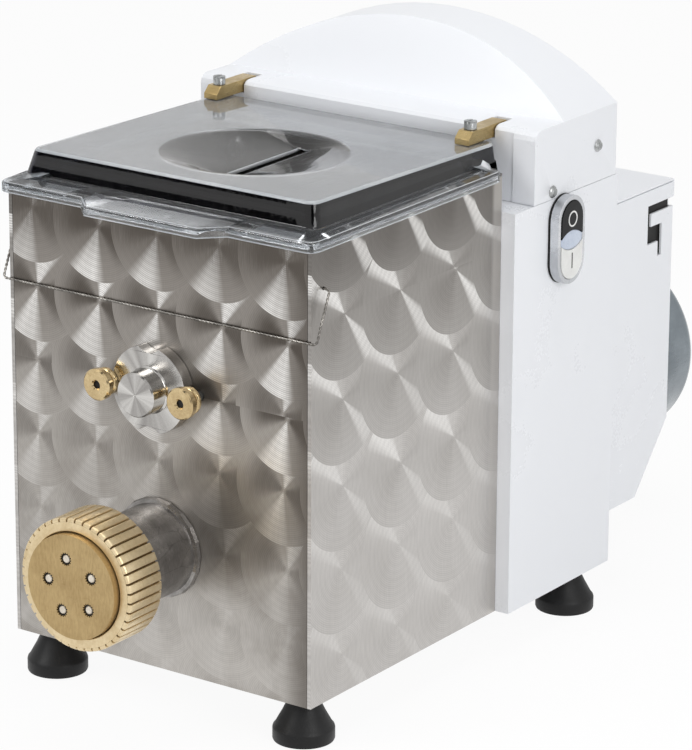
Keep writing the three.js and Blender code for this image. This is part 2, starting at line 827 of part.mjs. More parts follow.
// Mixer: a shaft with twisted paddles, in a flanged bush at the back and the bearing flange in front
function mixerShaft() {
  const step = tubFront + sheet + seatGap;
  const nose = -hubReach + flangeThickness;
  const rear = coarseRear + seatGap;
  const shaft = turnedY([[0, nose], [journalRadius, nose], [journalRadius, step], [shaftRadius, step],
    [shaftRadius, rear], [0, rear]], 0, mixerZ);
  const first = tubFront + sheet + paddleWidth;
  const last = tubRear - sheet - paddleWidth;
  const reach = tubRadius - paddleGap;
  const paddles = spread(paddleCount, (i) => {
    const blade = new THREE.BoxGeometry(paddleThickness, paddleWidth, reach);
    blade.translate(0, 0, reach / 2);
    blade.rotateZ(paddleTwist * degrees * (i % 2 ? 1 : -1));
    blade.rotateY((i * Math.PI) / 2);
    blade.translate(0, first + ((last - first) * i) / (paddleCount - 1), mixerZ);
    return toSolid(blade);
  });
  return toMesh('mixer_shaft', joined(shaft, ...paddles), stainless());
}

function mixerBush() {
  const head = tubRear - sheet - seatGap;
  const rear = columnFront - seatGap;
  const bore = shaftRadius + runGap;
  const start = head - bushHeadThickness;
  const profile = [[bore, start], [bushHeadRadius, start], [bushHeadRadius, head], [bushRadius, head],
    [bushRadius, rear], [bore, rear], [bore, start]];
  return toMesh('mixer_bush', turnedY(profile, 0, mixerZ), brass());
}

// Lobed bearing flange of the mixer, clamped by two thumb nuts on studs
function mixerBearingFlange() {
  const [back, front] = [-seatGap, -seatGap - flangeThickness];
  const scallops = [[sideScallopRadius, studSpread, 0], [sideScallopRadius, -studSpread, 0],
    [endScallopRadius, 0, endScallopSpread], [endScallopRadius, 0, -endScallopSpread]];
  const lobes = cut(rodY(lobeRadius, front, back, 0, mixerZ, fineSides),
    ...scallops.map(([radius, x, rise]) =>
      rodY(radius, front - cutOverrun, back + cutOverrun, x, mixerZ + rise)));
  const sleeve = tubFront + sheet;
  const spigot = hubRadius - seatGap;
  const hub = turnedY([[0, -hubReach], [hubRadius - hubChamfer, -hubReach],
    [hubRadius, hubChamfer - hubReach], [hubRadius, back], [spigot, back], [spigot, sleeve], [0, sleeve]],
  0, mixerZ);
  const bore = rodY(journalRadius + runGap, flangeThickness - hubReach - runGap, sleeve + cutOverrun, 0,
    mixerZ);
  return toMesh('mixer_bearing_flange', cut(joined(lobes, hub), bore), stainless());
}

function mixerStud(name, x) {
  const head = sheet + seatGap;
  const tip = nutBack - nutLength + studRecess;
  const profile = [[0, tip], [studRadius, tip], [studRadius, head], [studHeadRadius, head],
    [studHeadRadius, tubFront - seatGap], [0, tubFront - seatGap]];
  return toMesh(name, turnedY(profile, x, mixerZ, smallSides), zincSteel());
}

function thumbNut(name, x) {
  const front = nutBack - nutLength;
  const neck = front + nutHeadLength;
  const collar = neck + nutWaistLength;
  const bore = studRadius + runGap;
  const stop = front + studRecess - runGap;
  const profile = [[nutMouthRadius, front], [nutRadius - nutChamfer, front], [nutRadius, front + nutChamfer],
    [nutRadius, neck - nutChamfer], [nutWaistRadius, neck], [nutWaistRadius, collar],
    [nutCollarRadius, collar], [nutCollarRadius, nutBack], [bore, nutBack], [bore, stop],
    [nutMouthRadius, stop], [nutMouthRadius, front]];
  return toMesh(name, turnedY(profile, x, mixerZ, nutSides), brass());
}

// Lid: a flanged cover with a raised plateau that falls to the hinge, a feed funnel and a pull lip
const lidRight = boxHalf + lidOverhang;
const lidLeft = -boxHalf - lidLeftOverhang;
const plateauLeft = lidLeft + plateauLeftInset;
const plateauRight = lidRight - plateauRightInset;
const plateauFront = -lidOverhang + plateauFrontInset;
const plateauRear = boxDepth - lidRearGap + plateauTail;
const plateauFrontTop = flangeTop + plateauFrontRise;
const plateauRearTop = flangeTop + plateauRearRise;

function plateauZ(y) {
  const share = (y - plateauFront) / (plateauRear - plateauFront);
  return plateauFrontTop + (plateauRearTop - plateauFrontTop) * share;
}

function lifted(ring, height) {
  return ring.map(([x, y]) => [x, y, height(y)]);
}

function plateauSolid(inset, bottom) {
  const corner = plateauCorner - inset;
  const draft = inset + plateauDraft;
  const back = plateauRear - inset;
  const base = roundedRing(plateauLeft + inset, plateauRight - inset, plateauFront + inset, back, corner);
  const top = roundedRing(plateauLeft + inset + plateauLeftDraft, plateauRight - draft,
    plateauFront + draft, back, corner);
  return loft([lifted(base, () => bottom), lifted(base, () => flangeTop - inset),
    lifted(top, (y) => plateauZ(y) - inset)]);
}

function lipShape(inset) {
  const front = -lidOverhang - lipReach + inset;
  return polygon([[-lipRearHalf + inset, -lidOverhang], [-lipFrontHalf + inset, front],
    [lipFrontHalf - inset, front], [lipRearHalf - inset, -lidOverhang]]);
}

// The funnel runs from a circle on the plateau down to a long slot, by four ruled and creased slopes
function funnelRings(grow) {
  const [right, left] = [funnelShift + slotWidth / 2 + grow, funnelShift - slotWidth / 2 - grow];
  const front = funnelCentre + slotShift - slotLength / 2 - grow;
  const rear = front + slotLength + 2 * grow;
  const steps = 8;
  const radius = funnelRadius + grow;
  const between = (from, to, i) => from + ((to - from) * i) / steps;
  const edge = (ax, ay, bx, by) => spread(steps, (i) => [between(ax, bx, i), between(ay, by, i)]);
  const sweep = (from, to) => arc(funnelShift, funnelCentre, radius, from, to, steps).slice(0, steps);
  const half = funnelArcHalf;
  return {
    slot: [...edge(right, front, right, rear), ...edge(right, rear, left, rear),
      ...edge(left, rear, left, front), ...edge(left, front, right, front)],
    circle: [...sweep(-half, half), ...sweep(half, 180 - half), ...sweep(180 - half, 180 + half),
      ...sweep(180 + half, 360 - half)],
  };
}

function lid() {
  const flangeRear = boxDepth - lidRearGap;
  const skirtBottom = flangeTop - lidSkirt;
  const outline = roundedRing(lidLeft, lidRight, -lidOverhang, flangeRear, lidCorner);
  const flange = sweptZ(polygon(outline), skirtBottom, flangeTop);
  const room = roundedRing(lidLeft + lidWall, lidRight - lidWall, lidWall - lidOverhang,
    flangeRear + 2 * lidCorner, lidInnerCorner);
  const under = sweptZ(polygon(room), skirtBottom - cutOverrun, lidUnder);
  const lip = sweptZ(lipShape(0), skirtBottom, flangeTop);
  const lipUnder = sweptZ(lipShape(lidWall), skirtBottom - cutOverrun, lidUnder);
  const shell = cut(joined(flange, lip), under, lipUnder);
  const plateauRoom = plateauSolid(lidWall, lidUnder - cutOverrun);
  const hollowed = cut(joined(shell, plateauSolid(0, lidUnder)), plateauRoom);
  const slotZ = plateauZ(funnelCentre) - funnelDepth;
  const [wall, open] = [funnelRings(lidWall), funnelRings(0)];
  const wallSolid = loft([lifted(wall.slot, () => slotZ - lidWall), lifted(wall.circle, (y) =>
    plateauZ(y) - lidWall / 2)]);
  const openSolid = loft([lifted(open.slot, () => slotZ - lidWall - cutOverrun),
    lifted(open.slot, () => slotZ), lifted(open.circle, plateauZ),
    lifted(open.circle, (y) => plateauZ(y) + cutOverrun)]);
  const screwHoles = barPlaces().map((x) =>
    rodZ(barScrewRadius + seatGap, lidUnder, ledgeTop, x, barScrewY));
  return toMesh('lid', cut(joined(hollowed, wallSolid), openSolid, ...screwHoles), clearPlastic());
}

// Hinge bars: brass bars with a chamfered nose, screwed to the plateau and pinned to the turning shaft
const barScrewY = pivotY - barScrewSetback;
const barUnder = plateauZ(pivotY - barReach) + seatGap;
const barTop = barUnder + barHeight;
const pivotZ = barUnder + pivotRise;

function barPlaces() {
  return [boxHalf - barRightInset, barLeftInset - boxHalf];
}

function hingeBar(name, x) {
  const nose = pivotY - barReach;
  const lug = arc(pivotY, pivotZ, lugRadius, -90, 0, smallSides / 2);
  const outline = polygon([[nose, barUnder], [pivotY - 2 * lugRadius, barUnder], ...lug,
    [pivotY + lugRadius, barTop - lugRadius / 2], [pivotY + lugRadius / 2, barTop], [nose + barNose, barTop],
    [nose, barTop - barNose]]);
  const bar = sweptX(outline, x - barWidth / 2, x + barWidth / 2);
  const bore = rodX(pivotRadius + seatGap, x - barWidth, x + barWidth, pivotY, pivotZ);
  const screwHole = rodZ(barScrewRadius + seatGap, barUnder - cutOverrun, barTop + cutOverrun, x, barScrewY);
  return toMesh(name, cut(bar, bore, screwHole), brass());
}

function barScrew(name, x) {
  const seat = barTop + seatGap;
  const top = seat + barScrewHeadHeight;
  const tight = plateauZ(barScrewY) - lidWall - seatGap - barNutRadius * plateauFallShare;
  const nutUnder = tight - barNutHeight;
  const profile = [[0, nutUnder], [barNutRadius, nutUnder], [barNutRadius, tight], [barScrewRadius, tight],
    [barScrewRadius, seat], [barScrewHead, seat], [barScrewHead, top], [0, top]];
  const screw = turnedZ(profile, x, barScrewY, smallSides);
  const slot = block(x - driverSlotWidth / 2, x + driverSlotWidth / 2, barScrewY - barScrewHead - cutOverrun,
    barScrewY + barScrewHead + cutOverrun, top - driverSlotDepth, top + cutOverrun);
  return toMesh(name, cut(screw, slot), zincSteel());
}

const plateauFallShare = 0.05;

function bearingStart(x) {
  return x + Math.sign(x) * (barWidth / 2 + seatGap);
}

function lidHingeShaft() {
  const [right, left] = barPlaces().map((x) => bearingStart(x) + Math.sign(x) * bearingWidth);
  return toMesh('lid_hinge_shaft', rodX(pivotRadius, left, right, pivotY, pivotZ), zincSteel());
}

function hingeBearing(name, x) {
  const start = bearingStart(x);
  const side = Math.sign(x);
  const end = start + side * bearingWidth;
  const front = hoodInner + hoodBend - sheet;
  const top = ledgeTop - sheet - seatGap;
  const body = block(start, end, front, front + bearingDepth, pivotZ - bearingDrop, top);
  const bore = rodX(pivotRadius + runGap, start - side * cutOverrun, end + side * cutOverrun, pivotY,
    pivotZ);
  return toMesh(name, cut(body, bore), blackPlastic());
}

// Wire bail: one bent wire whose ends sit in the side panels
function bentWire(points, radius, bend, sides, steps) {
  const corners = points.map((point) => new THREE.Vector3(...point));
  const path = [corners[0]];
  for (let i = 1; i + 1 < corners.length; i += 1) {
    const back = corners[i - 1].clone().sub(corners[i]).normalize();
    const ahead = corners[i + 1].clone().sub(corners[i]).normalize();
    const curve = new THREE.QuadraticBezierCurve3(corners[i].clone().addScaledVector(back, bend), corners[i],
      corners[i].clone().addScaledVector(ahead, bend));
    path.push(...curve.getPoints(steps));
  }
  path.push(corners[corners.length - 1]);
  let normal = new THREE.Vector3(0, 0, 1);
  const rings = path.map((point, i) => {
    const before = path[Math.max(i - 1, 0)];
    const after = path[Math.min(i + 1, path.length - 1)];
    const tangent = after.clone().sub(before).normalize();
    normal = normal.clone().addScaledVector(tangent, -normal.dot(tangent)).normalize();
    const across = tangent.clone().cross(normal);
    return spread(sides, (k) => {
      const angle = (2 * Math.PI * k) / sides;
      return point.clone().addScaledVector(normal, radius * Math.cos(angle))
        .addScaledVector(across, radius * Math.sin(angle)).toArray();
    });
  });
  return loft(rings);
}

function wireBail() {
  const pivotHeight = boxTop - bailPivotDrop;
  const legX = boxHalf + bailStandOff + wireRadius;
  const half = [[boxHalf - hemWidth + seatGap, bailPivotInset, pivotHeight],
    [legX, bailPivotInset, pivotHeight], [legX, -wireRadius - seatGap, mixerZ + bailRise]];
  const other = half.map(([x, y, z]) => [-x, y, z]).reverse();
  const wire = bentWire([...half, ...other], wireRadius, wireBend, smallSides / 2, smallSides / 4);
  return toMesh('wire_bail', wire, stainless());
}

// Drive column: painted sheet shell with a ledge in front of the hood and a flange behind the tub
const switchY = columnFront + switchSetback;
const switchZ = columnTop - switchDrop;

function switchOutline(width, height) {
  return polygon(stadium(switchY, switchZ, width, height));
}

function columnCasing() {
  const outer = block(columnLeft, columnRight, columnFront, columnRear, boxBottom, columnTop);
  const flangeHalf = boxHalf - columnFlangeInset;
  const flange = block(-flangeHalf, flangeHalf, columnFront, columnFront + sheet, columnTop - sheet,
    columnTop + columnFlangeRise);
  const room = block(columnLeft + sheet, columnRight - sheet, columnFront + sheet, columnRear + cutOverrun,
    boxBottom + sheet, columnTop - sheet);
  const top = block(columnLeft + sheet, columnRight - sheet, hoodFront + ledgeReturn, columnRear + cutOverrun,
    columnTop - sheet - cutOverrun, columnTop + cutOverrun);
  const shaftHoles = [augerZ, mixerZ].map((z) =>
    rodY(shaftRadius + runGap, columnFront - cutOverrun, columnFront + sheet + cutOverrun, 0, z));
  const boltHoles = boltPlaces().map((x) => rodY(boltRadius + seatGap, columnFront - cutOverrun,
    columnFront + sheet + cutOverrun, x, boltZ, smallSides));
  const switchHole = sweptX(switchOutline(switchHoleWidth, switchHoleHeight),
    columnRight - sheet - cutOverrun, columnRight + cutOverrun);
  const footHoles = rearFootPlaces().map((x) => rodZ(footStudRadius + seatGap, boxBottom - cutOverrun,
    boxBottom + sheet + cutOverrun, x, columnRear - footRearSetback));
  const shell = cut(joined(outer, flange), room, top, ...shaftHoles, ...boltHoles, switchHole, ...footHoles);
  return toMesh('column_casing', shell, whitePaint());
}

function columnBack() {
  const front = columnRear - sheet;
  const plate = block(columnLeft + sheet + seatGap, columnRight - sheet - seatGap, front, columnRear,
    boxBottom + sheet + seatGap, columnTop);
  const motorHole = rodY(motorRadius + motorFinHeight + motorHoleGap, front - cutOverrun,
    columnRear + cutOverrun, 0, augerZ, fineSides);
  const glandHole = rodY(glandShank + seatGap, front - cutOverrun, columnRear + cutOverrun, glandX,
    boxBottom + glandHeight, smallSides);
  return toMesh('column_back', cut(plate, motorHole, glandHole), whitePaint());
}

// Hood: a base with a bent ledge and two proud cheeks, and a round-topped arch that leans back
function archShape(offset, base) {
  const half = columnRight - columnMiddle;
  const radius = (half ** 2 + archRise ** 2) / (2 * archRise);
  const centre = ledgeTop + archRise - radius;
  const inner = radius - offset;
  const start = Math.asin((ledgeTop - centre) / inner) / degrees;
  const reach = inner * Math.cos(start * degrees);
  return polygon([[columnMiddle - reach, base], [columnMiddle + reach, base],
    ...arc(columnMiddle, centre, inner, start, 180 - start, roundSides)]);
}

function archSolid(offset, base, rear) {
  const slope = archLean / archRise;
  const high = ledgeTop + archRise + cutOverrun;
  const front = archFront + offset * Math.hypot(slope, 1);
  const leaning = (z) => [front + (z - ledgeTop) * slope, z];
  const side = polygon([leaning(base), [rear, base], [rear, high], leaning(high)]);
  return common(sweptY(archShape(offset, base), hoodFront, rear),
    sweptX(side, columnLeft - cutOverrun, columnRight + cutOverrun));
}

// The side outline of the base, whose ledge bends down to the front
function baseSolid(side, front, rear, bottom, top) {
  const bend = hoodBend - side;
  const outline = polygon([[front, bottom], [rear, bottom], [rear, top],
    ...arc(front + bend, top - bend, bend, 90, 180, bendSteps)]);
  return sweptX(outline, columnLeft + side, columnRight - side);
}

function hood() {
  const base = baseSolid(0, hoodFront, hoodRear, hoodBottom, ledgeTop);
  const arch = archSolid(0, ledgeTop - sheet, hoodRear);
  const recess = block(columnLeft + cheekWidth, columnRight - cheekWidth, hoodFront - cutOverrun,
    hoodFront + cheekStep, hoodBottom - cutOverrun, ledgeTop - sheet);
  const room = baseSolid(sheet, hoodInner, hoodRear - sheet, hoodBottom - cutOverrun, ledgeTop - sheet);
  const archRoom = archSolid(sheet, ledgeTop - sheet - cutOverrun, hoodRear - sheet);
  const notches = barPlaces().map((x) => block(x - barWidth / 2 - notchGap, x + barWidth / 2 + notchGap,
    hoodFront - cutOverrun, pivotY + notchRearGap, barUnder - notchGap, ledgeTop + cutOverrun));
  const hole = (face, side, [y, z]) =>
    rodX(hoodScrewRadius + seatGap, face - side * (sheet + cutOverrun), face + side * cutOverrun, y, z);
  const screwHoles = hoodScrewPlaces().flatMap((place) =>
    [hole(columnRight, 1, place), hole(columnLeft, -1, place)]);
  const shell = cut(joined(base, arch), recess, room, archRoom, ...notches, ...screwHoles);
  return toMesh('hood', shell, whitePaint());
}

function hoodScrewPlaces() {
  return [[hoodFront + hoodScrewFrontInset, hoodBottom + hoodScrewFrontRise],
    [hoodRear - hoodScrewRearInset, hoodBottom + hoodScrewRearRise]];
}

function hoodScrew(name, side, [y, z]) {
  const profile = [[0, -hoodScrewLength], [hoodScrewRadius, -hoodScrewLength], [hoodScrewRadius, 0],
    [hoodScrewHead, 0], [hoodScrewHead * hoodScrewHeadShare, hoodScrewHeadHeight], [0, hoodScrewHeadHeight]];
  const face = side > 0 ? columnRight : columnLeft;
  return toMesh(name, turnedX(profile, side, face + side * seatGap, y, z), zincSteel());
}

// Push-button switch on the right side of the column
const gasketBack = columnRight + seatGap;
const bezelBack = gasketBack + gasketThickness + seatGap;
const bezelFront = bezelBack + bezelThickness;
const buttonFace = bezelFront + buttonProud;
const buttonBack = buttonFace - buttonDepth;
const openingWidth = switchWidth - 2 * (bezelTaper + bezelRim);
const openingHeight = switchHeight - 2 * (bezelTaper + bezelRim);

function switchGasket() {
  const plate = sweptX(switchOutline(switchWidth + 2 * seatGap, switchHeight + 2 * seatGap), gasketBack,
    gasketBack + gasketThickness);
  const hole = sweptX(switchOutline(switchHoleWidth, switchHoleHeight), gasketBack - cutOverrun,
    gasketBack + gasketThickness + cutOverrun);
  return toMesh('switch_gasket', cut(plate, hole), blackRubber());
}

function switchBezel() {
  const ring = (taper, x) => stadium(switchY, switchZ, switchWidth - 2 * taper, switchHeight - 2 * taper)
    .map(([y, z]) => [x, y, z]);
  const outer = loft([ring(0, bezelBack), ring(0, bezelFront - bezelTaper), ring(bezelTaper, bezelFront)]);
  const inner = sweptX(switchOutline(openingWidth, openingHeight), bezelBack - cutOverrun,
    bezelFront + cutOverrun);
  return toMesh('switch_bezel', cut(outer, inner), greyPlastic());
}

// The round edges of the lens are arcs that meet the bezel opening at the lens's edge height
function lensDisc(side, grow, x0, x1) {
  const bulge = lensHalfHeight - lensEdgeHalfHeight;
  const radius = ((openingWidth / 2) ** 2 + bulge ** 2) / (2 * bulge);
  return rodX(radius + grow, x0, x1, switchY, switchZ + side * (lensHalfHeight - radius), 4 * roundSides);
}

function insideBezel(x0, x1) {
  return sweptX(switchOutline(openingWidth - 2 * seatGap, openingHeight - 2 * seatGap), x0, x1);
}

function pushButton(name, side, material) {
  const [x0, x1] = [buttonBack - cutOverrun, buttonFace + cutOverrun];
  const half = block(x0, x1, switchY - switchWidth, switchY + switchWidth, switchZ,
    switchZ + side * switchHeight);
  const button = cut(common(insideBezel(buttonBack, buttonFace), half), lensDisc(side, seatGap, x0, x1));
  const stem = rodX(stemRadius, buttonFace - stemLength, buttonBack + buttonDepth / 2, switchY,
    switchZ + (side * stemSpread) / 2);
  return toMesh(name, joined(button, stem), material);
}

function pilotLens() {
  const [x0, x1] = [bezelBack - cutOverrun, bezelFront + cutOverrun];
  const lens = common(insideBezel(bezelBack, bezelFront), lensDisc(1, 0, x0, x1), lensDisc(-1, 0, x0, x1));
  return toMesh('pilot_lens', lens, finish(0xb7c4d6, 0.2, 0));
}

function switchContactBlock() {
  const front = columnRight - sheet - seatGap;
  const stemEnd = buttonFace - stemLength - buttonTravel - runGap;
  const body = block(front - blockDepth, front, switchY - blockWidth / 2, switchY + blockWidth / 2,
    switchZ - blockHeight / 2, switchZ + blockHeight / 2);
  const wells = [-1, 1].map((side) => rodX(stemRadius + runGap, stemEnd, front + cutOverrun, switchY,
    switchZ + (side * stemSpread) / 2));
  return toMesh('switch_contact_block', cut(body, ...wells), blackPlastic());
}

// Gear case: two halves whose outline is the tight hull round the three gears
function caseOutline(offset) {
  const margin = caseMargin + gearModule * addendumShare + offset;
  const gears = [[0, mixerZ, mixerTeeth], [0, augerZ, augerTeeth],
    [counterDistance, augerZ, counterGearTeeth]];
  const circles = gears.map(([x, z, teeth]) => [x, z, (gearModule * teeth) / 2 + margin]);
  return polygon(spread(roundSides, (i) => {
    const angle = (2 * Math.PI * i) / roundSides;
    const [c, s] = [Math.cos(angle), Math.sin(angle)];
    const reach = ([x, z, radius]) => x * c + z * s + radius;
    const [x, z, radius] = circles.reduce((best, circle) => (reach(circle) > reach(best) ? circle : best));
    return [x + radius * c, z + radius * s];
  }));
}

function gearCaseFront() {
  const split = coarseRear + stageGap / 2;
  const places = [[0, augerZ, bearingOuter + seatGap], [0, mixerZ, bearingOuter + seatGap],
    [counterDistance, augerZ, counterShaftRadius + runGap]];
  const outer = sweptY(caseOutline(caseWall), caseFront, split);
  const room = sweptY(caseOutline(0), caseFront + caseFloor, split + cutOverrun);
  const bosses = places.map(([x, z, radius]) =>
    rodY(radius + caseWall, caseFront, caseFront + bearingLength, x, z));
  const seats = places.map(([x, z, radius]) =>
    rodY(radius, caseFront - cutOverrun, caseFront + bearingLength + cutOverrun, x, z));
  return toMesh('gear_case_front', cut(joined(cut(outer, room), ...bosses), ...seats), castSteel());
}

function gearCaseRear() {
  const split = coarseRear + stageGap / 2 + seatGap;
  const outer = sweptY(caseOutline(caseWall), split, caseRear);
  const room = sweptY(caseOutline(0), split - cutOverrun, caseRear - caseFloor);
  const boss = rodY(counterShaftRadius + runGap + caseWall, caseRear - bearingLength, caseRear,
    counterDistance, augerZ);
  const holes = [[0, motorShaftRadius], [counterDistance, counterShaftRadius]].map(([x, radius]) =>
    rodY(radius + runGap, caseRear - bearingLength - cutOverrun, caseRear + cutOverrun, x, augerZ));
  return toMesh('gear_case_rear', cut(joined(cut(outer, room), boss), ...holes), castSteel());
}

function bearing(name, z) {
  const ring = cut(rodY(bearingOuter, caseFront, caseFront + bearingLength, 0, z),
    rodY(shaftRadius + runGap, caseFront - cutOverrun, caseFront + bearingLength + cutOverrun, 0, z));
  return toMesh(name, ring, zincSteel());
}

// Motor: flanged and finned body, shaft with pinion, fan and cowl
function spokes(count, turn, make) {
  return spread(count, (i) => {
    const geometry = make();
    geometry.rotateY(((i + turn) * 2 * Math.PI) / count);
    geometry.translate(0, 0, augerZ);
    return toSolid(geometry);
  });
}

function bar(width, y0, y1, inner, outer) {
  const geometry = new THREE.BoxGeometry(width, y1 - y0, outer - inner);
  geometry.translate(0, (y0 + y1) / 2, (inner + outer) / 2);
  return geometry;
}

function motorBody() {
  const flangeRear = motorFront + motorFlangeThickness;
  const shieldRear = motorRear + motorFlangeThickness;
  const body = turnedY([[0, motorFront], [motorFlangeRadius, motorFront], [motorFlangeRadius, flangeRear],
    [motorRadius, flangeRear + motorFlangeThickness], [motorRadius, motorRear],
    [motorRadius * endShieldShare, shieldRear], [0, shieldRear]], 0, augerZ, fineSides);
  const finEnd = (motorLength * (1 - motorFinShare)) / 2;
  const fins = spokes(motorFinCount, 1 / 2, () => bar(motorFinThickness, motorFront + finEnd,
    motorRear - finEnd, motorRadius - motorFinHeight, motorRadius + motorFinHeight));
  const lugs = spokes(4, 1 / 2, () => bar(cowlLugWidth, motorRear - motorFlangeThickness, motorRear,
    motorRadius - motorFinHeight, cowlRadius));
  const lugLimit = rodY(cowlRadius - cowlSheet - seatGap, motorFront, shieldRear, 0, augerZ, fineSides);
  const bore = rodY(motorShaftRadius + runGap, motorFront - cutOverrun, shieldRear + cutOverrun, 0, augerZ);
  const motor = cut(common(joined(body, ...fins, ...lugs), lugLimit), bore);
  return toMesh('motor_body', motor, finish(0x8d9296, 0.55, 0.6));
}

function motorShaft() {
  const shaft = rodY(motorShaftRadius, fineRear, cowlRear - fanSetback, 0, augerZ);
  const pinion = sweptY(gearShape(motorTeeth, motorPhase, 0, augerZ), fineFront, fineRear + seatGap);
  return toMesh('motor_shaft', joined(shaft, pinion), castSteel());
}

function motorFan() {
  const rear = cowlRear - fanSetback;
  const hub = rodY(fanHubRadius, rear - fanWidth, rear, 0, augerZ);
  const blades = spokes(fanBladeCount, 0, () =>
    bar(fanBladeThickness, rear - fanWidth, rear, fanHubRadius / 2, fanRadius));
  const bore = rodY(motorShaftRadius + seatGap, rear - fanWidth - cutOverrun, rear + cutOverrun, 0, augerZ);
  return toMesh('motor_fan', cut(joined(hub, ...blades), bore), blackPlastic());
}

function fanCowl() {
  const edge = (radius) => arc(cowlRadius - cowlEdge, cowlRear - cowlEdge, radius, 0, 90, cowlEdgeSteps);
  const profile = [[cowlRadius, cowlFront], ...edge(cowlEdge), [0, cowlRear], [0, cowlRear - cowlSheet],
    ...edge(cowlEdge - cowlSheet).reverse(), [cowlRadius - cowlSheet, cowlFront], [cowlRadius, cowlFront]];
  const slots = spokes(grilleSlots, 0, () => bar(grilleSlotWidth, cowlRear - cowlEdge, cowlRear + cutOverrun,
    grilleInner, grilleOuter));
  return toMesh('fan_cowl', cut(turnedY(profile, 0, augerZ, fineSides), ...slots), finish(0x9fabb3, 0.3, 1));
}

// Rear cover: sheet shell with a slanted foot, an opening for the motor and a hooked slot in its side
function coverProfile(inset, front, overrun) {
  const slant = coverRear - coverSlantDepth - inset;
  const rear = coverRear - inset;
  return polygon([[front, coverBottom - overrun], [slant, coverBottom - overrun], [slant, coverBottom],
    [rear, coverSlantTop], [rear, coverTop + overrun], [front, coverTop + overrun]]);
}

function hookSlot() {
  const top = coverTop + seatGap + sheet - coverLip;
  const bottom = top - hookHeight;
  const tab = top - hookMouth;
  const end = coverRear + cutOverrun;
  const slotRear = coverRear - hookSlotSetback;
  const slotFront = slotRear - hookSlotWidth;
  const slotEnd = top - hookSlotDrop;
  return polygon([[end, top], [coverRear - hookReach, top], [coverRear - hookReach, bottom],
    [slotFront, bottom], [slotFront, slotEnd], [slotRear, slotEnd], [slotRear, tab - tabThickness],
    [coverRear - tabReach, tab - tabThickness], [coverRear - tabReach, tab],
    [end, tab]].reverse());
}

function rearCover() {
  const outer = sweptX(coverProfile(0, coverFront, 0), coverLeft, coverRight);
  const inner = sweptX(coverProfile(sheet, coverFront - cutOverrun, cutOverrun), coverLeft + sheet,
    coverRight - sheet);
  const motorHole = rodY(cowlRadius + motorHoleGap, coverFront - cutOverrun, coverRear + cutOverrun, 0,
    augerZ, fineSides);
  const hook = sweptX(hookSlot(), coverRight - sheet - cutOverrun, coverRight + cutOverrun);
  return toMesh('rear_cover', cut(outer, inner, motorHole, hook), whitePaint());
}

function rearCoverTop() {
  const [under, back] = [coverTop + seatGap, coverRear + seatGap];
  const plate = block(coverLeft, coverRight, coverFront, back + sheet, under, under + sheet);
  const lip = block(coverLeft, coverRight, back, back + sheet, under + sheet - coverLip, under + sheet);
  return toMesh('rear_cover_top', joined(plate, lip), whitePaint());
}

function cableGland() {
  const face = columnRear + seatGap;
  const inside = columnRear - sheet - glandHexHeight;
  const profile = [[glandBore, inside], [glandShank, inside], [glandShank, face], [glandRadius, face],
    [glandRadius, face + glandHexHeight], [glandNeckRadius, face + glandHexHeight],
    [glandNeckRadius, face + glandLength - glandBore], [glandShank, face + glandLength],
    [glandBore, face + glandLength], [glandBore, inside]];
  const gland = turnedY(profile, glandX, boxBottom + glandHeight, smallSides);
  return toMesh('cable_gland', gland, blackPlastic());
}

// Feet: a broad rim, a cone and a stud that goes up into the machine
function rearFootPlaces() {
  return [columnRight - footRearInset, columnLeft + footRearInset];
}

function foot(name, x, y) {
  const profile = [[0, 0], [footRadius - footBevel, 0], [footRadius, footBevel], [footRadius, footRimHeight],
    [footTopRadius, footHeight], [footStudRadius, footHeight], [footStudRadius, footHeight + footStudLength],
    [0, footHeight + footStudLength]];
  return toMesh(name, turnedZ(profile, x, y, nutSides), blackRubber());
}

